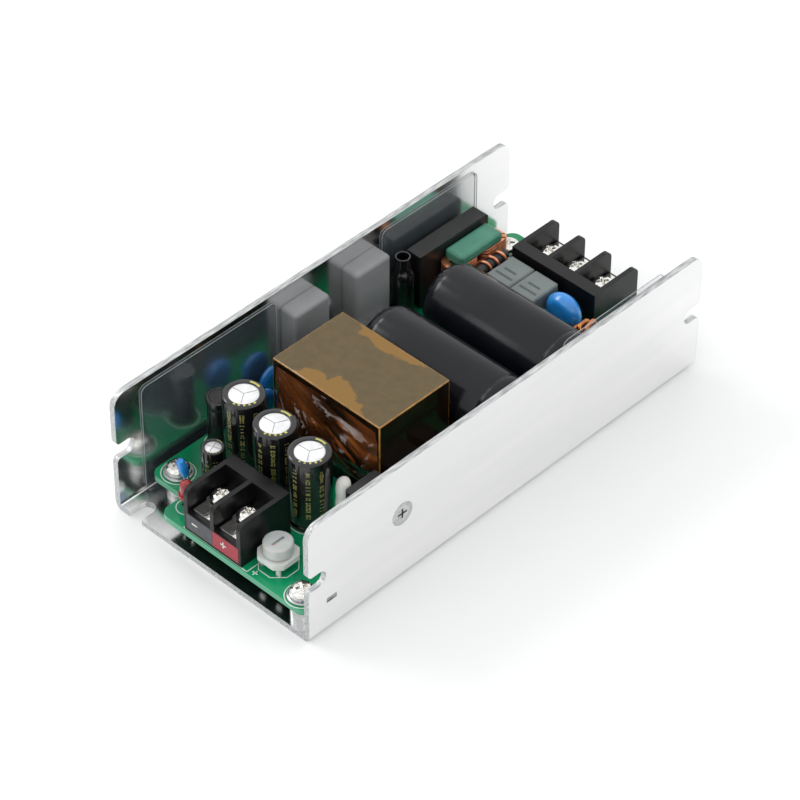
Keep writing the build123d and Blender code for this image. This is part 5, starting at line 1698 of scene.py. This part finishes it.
@dataclass
class BlockLabels:
    """Grey and red fields on the front of the output block, with a minus and a plus sign."""

    thick: float = 0.06
    sunk: float = 0.02
    span: Pair = (8.45, 12.75)
    margin: float = 0.7
    joint: Pair = (-0.25, 0.03)
    sign: float = 1.7
    sign_lift: float = 0.15
    stroke: float = 0.34
    ink: Pair = (0.04, 0.01)
    signs: Pair = (5.4, -3.6)

    def build(self) -> None:
        """Print both fields and both signs."""
        low, high = Box.of("output_terminal_block").low, Box.of("output_terminal_block").high
        front = low.x - self.thick
        x, ink = (front, low.x + self.sunk), (front - self.ink[0], front + self.ink[1])
        joint, gap = self.joint
        form = Form()
        form.slab(x, (joint + gap, high.y - self.margin), self.span, GREY_LABEL)
        form.slab(x, (low.y + self.margin, joint - gap), self.span, RED_LABEL)
        z = sum(self.span) / 2 + self.sign_lift
        half, line = self.sign / 2, self.stroke / 2
        for y in self.signs:
            form.slab(ink, (y - half, y + half), (z - line, z + line), WHITE_INK)
        plus = self.signs[1]
        form.slab(ink, (plus - line, plus + line), (z - half, z + half), WHITE_INK)
        form.piece("output_block_labels", "black_moulding", smooth=None)


@dataclass
class BoardPrint:
    """White screen print on the board: rings, outlines, lines and polarity signs."""

    ink: Pair = (0.01, 0.05)
    line: float = 0.2
    screw_ring: float = 4.05
    rings: tuple[tuple[str, float], ...] = (
        ("drum_choke", 0.8), ("status_led", 0.7), ("small_capacitor", 0.35),
        *((f"output_capacitor_{n}", 0.3) for n in (1, 2, 3)),
    )
    trimmer_across: float = 8.8
    trimmer_corner: float = 2.6
    board_margin: float = 0.35
    block_margins: Pair = (1.75, 0.5)
    block_gap: float = 0.15
    block_ends: Pair = (4.0, 2.0)
    plus_place: Pair = (1.0, 3.3)
    tick_place: Pair = (0.4, 0.2)
    input_start: float = 1.0
    input_margin: float = 0.6
    sign_half: float = 0.75
    sign_line: float = 0.26
    tick_line: float = 0.3

    def build(self, frame: dict, board_top: float) -> None:
        """Print everything at the board's height.

        Args:
            frame: The loaded frame.
            board_top: Height of the board's upper face.
        """
        self.low, self.high = board_top - self.ink[0], board_top + self.ink[1]
        form = Form()
        for box in separate_boxes(frame, "board_washers"):
            self.ring(form, box, self.screw_ring)
        for node, extra in self.rings:
            box = Box.of(node)
            self.ring(form, box, box.radius + extra)
        self.trimmer_outline(form)
        self.block_outline(form)
        self.input_outline(form)
        form.piece("board_print", "board", smooth=None)

    def ring(self, form: Form, box: Box, radius: float) -> None:
        """Print a ring.

        Args:
            form: Form that takes it.
            box: Box of the part that it surrounds.
            radius: Its outer radius.
        """
        inner, low, high = radius - self.line, self.low, self.high
        profile = [(inner, low), (radius, low), (radius, high), (inner, high), (inner, low)]
        form.turned(profile, WHITE_INK, (box.x, box.y, 0.0), steps=48)

    def stroke(self, form: Form, start: Pair, end: Pair, width: float | None = None) -> None:
        """Print a straight line.

        Args:
            form: Form that takes it.
            start: X and Y of one end.
            end: X and Y of the other.
            width: Its width, by default that of every outline.
        """
        wide = width or self.line
        way = Vector(end) - Vector(start)
        middle = (Vector(start) + Vector(end)) / 2
        turn = Matrix.Translation((*middle, 0.0)) @ Matrix.Rotation(math.atan2(way.y, way.x), 4, "Z")
        half = way.length / 2
        form.slab((-half, half), (-wide / 2, wide / 2), (self.low, self.high), WHITE_INK, turn=turn)

    def trimmer_outline(self, form: Form) -> None:
        """Print the octagon round the trimmer.

        Args:
            form: Form that takes it.
        """
        box = Box.of("trimmer_base")
        half, flat = self.trimmer_across / 2, self.trimmer_across / 2 - self.trimmer_corner
        corners = [(half, -flat), (half, flat), (flat, half), (-flat, half)]
        corners += [(-x, -y) for x, y in corners]
        for start, end in zip(corners, corners[1:] + corners[:1]):
            self.stroke(form, (box.x + start[0], box.y + start[1]), (box.x + end[0], box.y + end[1]))

    def block_outline(self, form: Form) -> None:
        """Print the output block's side lines, both signs and the tick at its corner.

        Args:
            form: Form that takes them.
        """
        low, high = Box.of("output_terminal_block").low, Box.of("output_terminal_block").high
        edge = Box.of("circuit_board").low.x + self.board_margin
        near, far = low.y - self.block_margins[0], high.y + self.block_margins[1]
        self.stroke(form, (edge, near), (high.x - self.block_ends[0], near))
        self.stroke(form, (edge, far), (edge, near + self.block_gap))
        self.stroke(form, (edge, far), (low.x + self.block_ends[1], far))
        x, y, half = edge + self.plus_place[0], low.y - self.plus_place[1], self.sign_half
        self.stroke(form, (x - half, y), (x + half, y), self.sign_line)
        self.stroke(form, (x, y - half), (x, y + half), self.sign_line)
        x, y = edge + self.tick_place[0], high.y - self.tick_place[1]
        self.stroke(form, (x, y - half), (x, y + half), self.tick_line)

    def input_outline(self, form: Form) -> None:
        """Print the input block's side lines.

        Args:
            form: Form that takes them.
        """
        low, high = Box.of("input_terminal_block").low, Box.of("input_terminal_block").high
        for side in (low.y - self.input_margin, high.y + self.input_margin):
            self.stroke(form, (low.x + self.input_start, side), (high.x - self.input_margin, side))


@dataclass
class FilmEdges:
    """The cut edges of the clear film, drawn as thin pale lines: their frosting, with painted highlights
    where they catch the light.
    """

    sheet: float = 1.5
    film: float = 0.3
    width: float = 0.16
    lift: float = 0.04
    corner: float = 2.0
    foot: float = 2.7
    top: float = 31.5
    window: Pair = (-14.3, 19.8)
    window_foot: float = 6.7
    near_start: float = 18.0

    def build(self) -> None:
        """Trace each panel's cut edge, inside the channel's walls."""
        film = Box.of("insulation_film")
        start, end = film.low.x, film.high.x
        face = Box.of("chassis").high.y - self.sheet - self.film - self.lift
        top, near_top = self.top - self.width / 2, film.high.z - self.width / 2
        foot, sill = self.foot, self.window_foot
        left, right = self.window
        form = Form()
        for y, line in (
            (face, [(start, foot), (start, top), (left, top), (left, sill)]),
            (face, [(right, sill), (right, top), (end, top), (end, foot)]),
            (-face, [(self.near_start, sill), (self.near_start, near_top), (end, near_top), (end, foot)]),
        ):
            # painted highlight: each cut edge is a pale wire along the film
            form.wire([(x, y, z) for x, z in rounded(line, self.corner, 6)], self.width, CUT_EDGE_PAINTED_HIGHLIGHT)
        form.piece("film_cut_edges_painted_highlight", "film", smooth=60.0)


@dataclass
class BoxMarks:
    """Short plain bars of print on the lids of the film capacitors."""

    bars: tuple[Pair, ...] = ((-2.2, 2.6), (0.0, 1.8))
    half_width: float = 0.35
    ink: Pair = (0.01, 0.03)

    def build(self) -> None:
        """Print the bars on both boxes."""
        form = Form()
        for n in (1, 2):
            box = Box.of(f"film_capacitor_{n}")
            z = (box.high.z - self.ink[0], box.high.z + self.ink[1])
            for offset, half in self.bars:
                x = (box.x + offset - self.half_width, box.x + offset + self.half_width)
                form.slab(x, (box.y - half, box.y + half), z, DARK_INK)
        form.piece("film_capacitor_marks", "grey_box", smooth=None)


@dataclass
class PhotoCamera:
    """The camera of the photograph, solved from the channel's edges."""

    azimuth: float = 43.933
    elevation: float = 42.029
    roll: float = 0.288
    distance: float = 832.52
    across: float = 2.691
    above: float = -7.810
    lens: float = 163.61
    sensor: float = 36.0
    clip: Pair = (0.05, 20.0)

    def build(self) -> None:
        """Set the scene's camera."""
        turn, tilt, roll = (math.radians(a) for a in (self.azimuth, self.elevation, self.roll))
        look = Vector((math.cos(turn) * math.cos(tilt), math.sin(turn) * math.cos(tilt), -math.sin(tilt)))
        level = look.cross(Vector((0, 0, 1))).normalized()
        upright = level.cross(look)
        right = level * math.cos(roll) + upright * math.sin(roll)
        up = upright * math.cos(roll) - level * math.sin(roll)
        matrix = Matrix((right, up, -look)).transposed().to_4x4()
        matrix.translation = (-self.across * right - self.above * up - self.distance * look) * MM
        camera = bpy.data.objects.new("photo_camera", bpy.data.cameras.new("photo_camera"))
        camera.data.lens = self.lens
        camera.data.sensor_width = self.sensor
        camera.data.clip_start, camera.data.clip_end = self.clip
        camera.matrix_world = matrix
        bpy.context.scene.collection.objects.link(camera)
        bpy.context.scene.camera = camera


@dataclass
class Studio:
    """A white sweep under a bright tent, its walls a little darker than its roof."""

    floor_size: float = 4.0
    floor_gap: float = 0.02
    tent: Pair = (1.0, 1.12)
    tent_rise: float = 0.8
    lights: tuple[tuple[str, Point, float, float], ...] = (
        ("roof_softbox", (0.0, 1.15, 1.2), 0.3, 1.9),
        ("back_softbox", (-0.5, 1.1, 0.9), 0.45, 3.4),
        ("side_softbox", (-1.3, 0.35, 0.75), 0.5, 1.0),
    )

    def build(self) -> None:
        """Lay the floor, hang the tent and the lights."""
        bpy.context.scene.view_settings.view_transform = "Standard"
        self.lay_floor()
        self.hang_tent()
        for name, place, size, power in self.lights:
            lamp = bpy.data.lights.new(name, "AREA")
            lamp.shape = "SQUARE"
            lamp.size = size
            lamp.energy = power
            carrier = bpy.data.objects.new(name, lamp)
            carrier.location = place
            carrier.rotation_euler = (-Vector(place)).to_track_quat("-Z", "Y").to_euler()
            bpy.context.scene.collection.objects.link(carrier)

    def hang_tent(self) -> None:
        """Make the surroundings, bright overhead and greyer toward the horizon."""
        world = bpy.data.worlds.new("white_tent")
        world.use_nodes = True
        tree = world.node_tree
        sky = add_node(tree, "ShaderNodeTexCoord").outputs["Generated"]
        height = add_node(tree, "ShaderNodeSeparateXYZ", {0: sky}).outputs[2]
        span = {"From Max": self.tent_rise, "To Min": self.tent[0], "To Max": self.tent[1]}
        strength = add_node(tree, "ShaderNodeMapRange", {**span, "Value": height}).outputs[0]
        tree.links.new(strength, tree.nodes["Background"].inputs["Strength"])
        tree.nodes["Background"].inputs["Color"].default_value = linear("#ffffff")
        bpy.context.scene.world = world

    def lay_floor(self) -> None:
        """Lay the pale floor just under the channel."""
        part = bmesh.new()
        bmesh.ops.create_grid(part, x_segments=4, y_segments=4, size=self.floor_size / 2)
        bmesh.ops.translate(part, vec=(0, 0, -self.floor_gap * MM), verts=part.verts)
        mesh = bpy.data.meshes.new("studio_floor")
        part.to_mesh(mesh)
        part.free()
        mesh.materials.append(FLOOR_PAINT.material())
        floor = bpy.data.objects.new("studio_floor", mesh)
        bpy.context.scene.collection.objects.link(floor)


@dataclass
class CarriedParts:
    """CAD nodes that keep their shape, with what each is made of."""

    finishes: dict[Finish, tuple[str, ...]] = field(default_factory=lambda: {
        SHEET_METAL: ("chassis",),
        CLEAR_FILM: ("insulation_film",),
        BOARD_MASK: ("circuit_board",),
        ZINC: ("standoffs", "clamp_bar", "wall_screws", "rectifier_nut"),
        NICKEL: (
            "output_terminal_strips", "input_terminal_strips", "output_clamp_plates", "input_clamp_plates",
        ),
        BLACK_NYLON: ("output_terminal_block", "input_terminal_block", "transformer_bobbin"),
        BLACK_EPOXY: (
            "power_transistor_1", "power_transistor_2", "bridge_rectifier", "input_fuse", "output_rectifier",
            "output_choke", "pwm_controller", "optocoupler",
        ),
        FERRITE: ("transformer_core_lower", "transformer_core_upper", "toroid_core"),
        COPPER: ("transformer_winding",),
        GREY_SILICONE: ("rubber_cap_1", "rubber_cap_2"),
        GREEN_POWDER: ("ring_choke_core",),
        GREY_BOX: ("film_capacitor_1", "film_capacitor_2"),
        WHITE_PLATE: ("trimmer_base",),
        MILKY_ACETAL: ("trimmer_rotor",),
        RESISTOR_LACQUER: ("load_resistor",),
    })

    def build(self, frame: dict) -> None:
        """Give every node its finish.

        Args:
            frame: The loaded frame.
        """
        for finish, nodes in self.finishes.items():
            for node in nodes:
                mesh = frame["nodes"][node].data
                mesh.materials.clear()
                mesh.materials.append(finish.material())
                LOG.info("%s is dressed as %s", node, finish.name)


def main() -> None:
    """Build every sub-assembly in order."""
    logging.basicConfig(level=logging.INFO, format="%(name)s %(message)s")
    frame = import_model()
    board_top = Box.of("circuit_board").high.z
    PhotoCamera().build()
    Studio().build()
    CarriedParts().build(frame)
    for n in (1, 2, 3):
        UprightCan(f"output_capacitor_{n}", seed=n).build(board_top)
    UprightCan(
        "small_capacitor", scores=(20.0, 110.0, 200.0, 290.0), columns=(-30.0, 12.0), shoulder=0.6,
        lead_pitch=2.2, seed=8,
    ).build(board_top)
    for n in (1, 2):
        BulkCan(f"bulk_capacitor_{n}").build()
    TransformerWrap().build()
    RingChoke().build(frame)
    RodChoke().build()
    Toroid().build()
    for n in (1, 2):
        DippedPart(f"disc_capacitor_{n}", BLUE_DIP, Axis.Y).build(board_top)
    varistor = DippedPart(
        "varistor", PALE_BLUE_DIP, Axis.X, thick=4.8, diameter=10.0, skirt=2.2, shift=(0.0, 0.0, 1.1)
    )
    varistor.build(board_top)
    BeadCapacitor().build()
    StatusLed().build()
    DrumChoke().build(board_top)
    FuseSleeve().build()
    PanScrews("board_screws", "board_screws_domed", "board_washers").build(frame)
    for side in ("output", "input"):
        PanScrews(f"{side}_terminal_screws", f"{side}_terminal_screws_domed", seed=len(side)).build(frame)
    SealantBlob().build()
    BlockLabels().build()
    BoardPrint().build(frame, board_top)
    FilmEdges().build()
    BoxMarks().build()


if __name__ == "__main__":
    main()
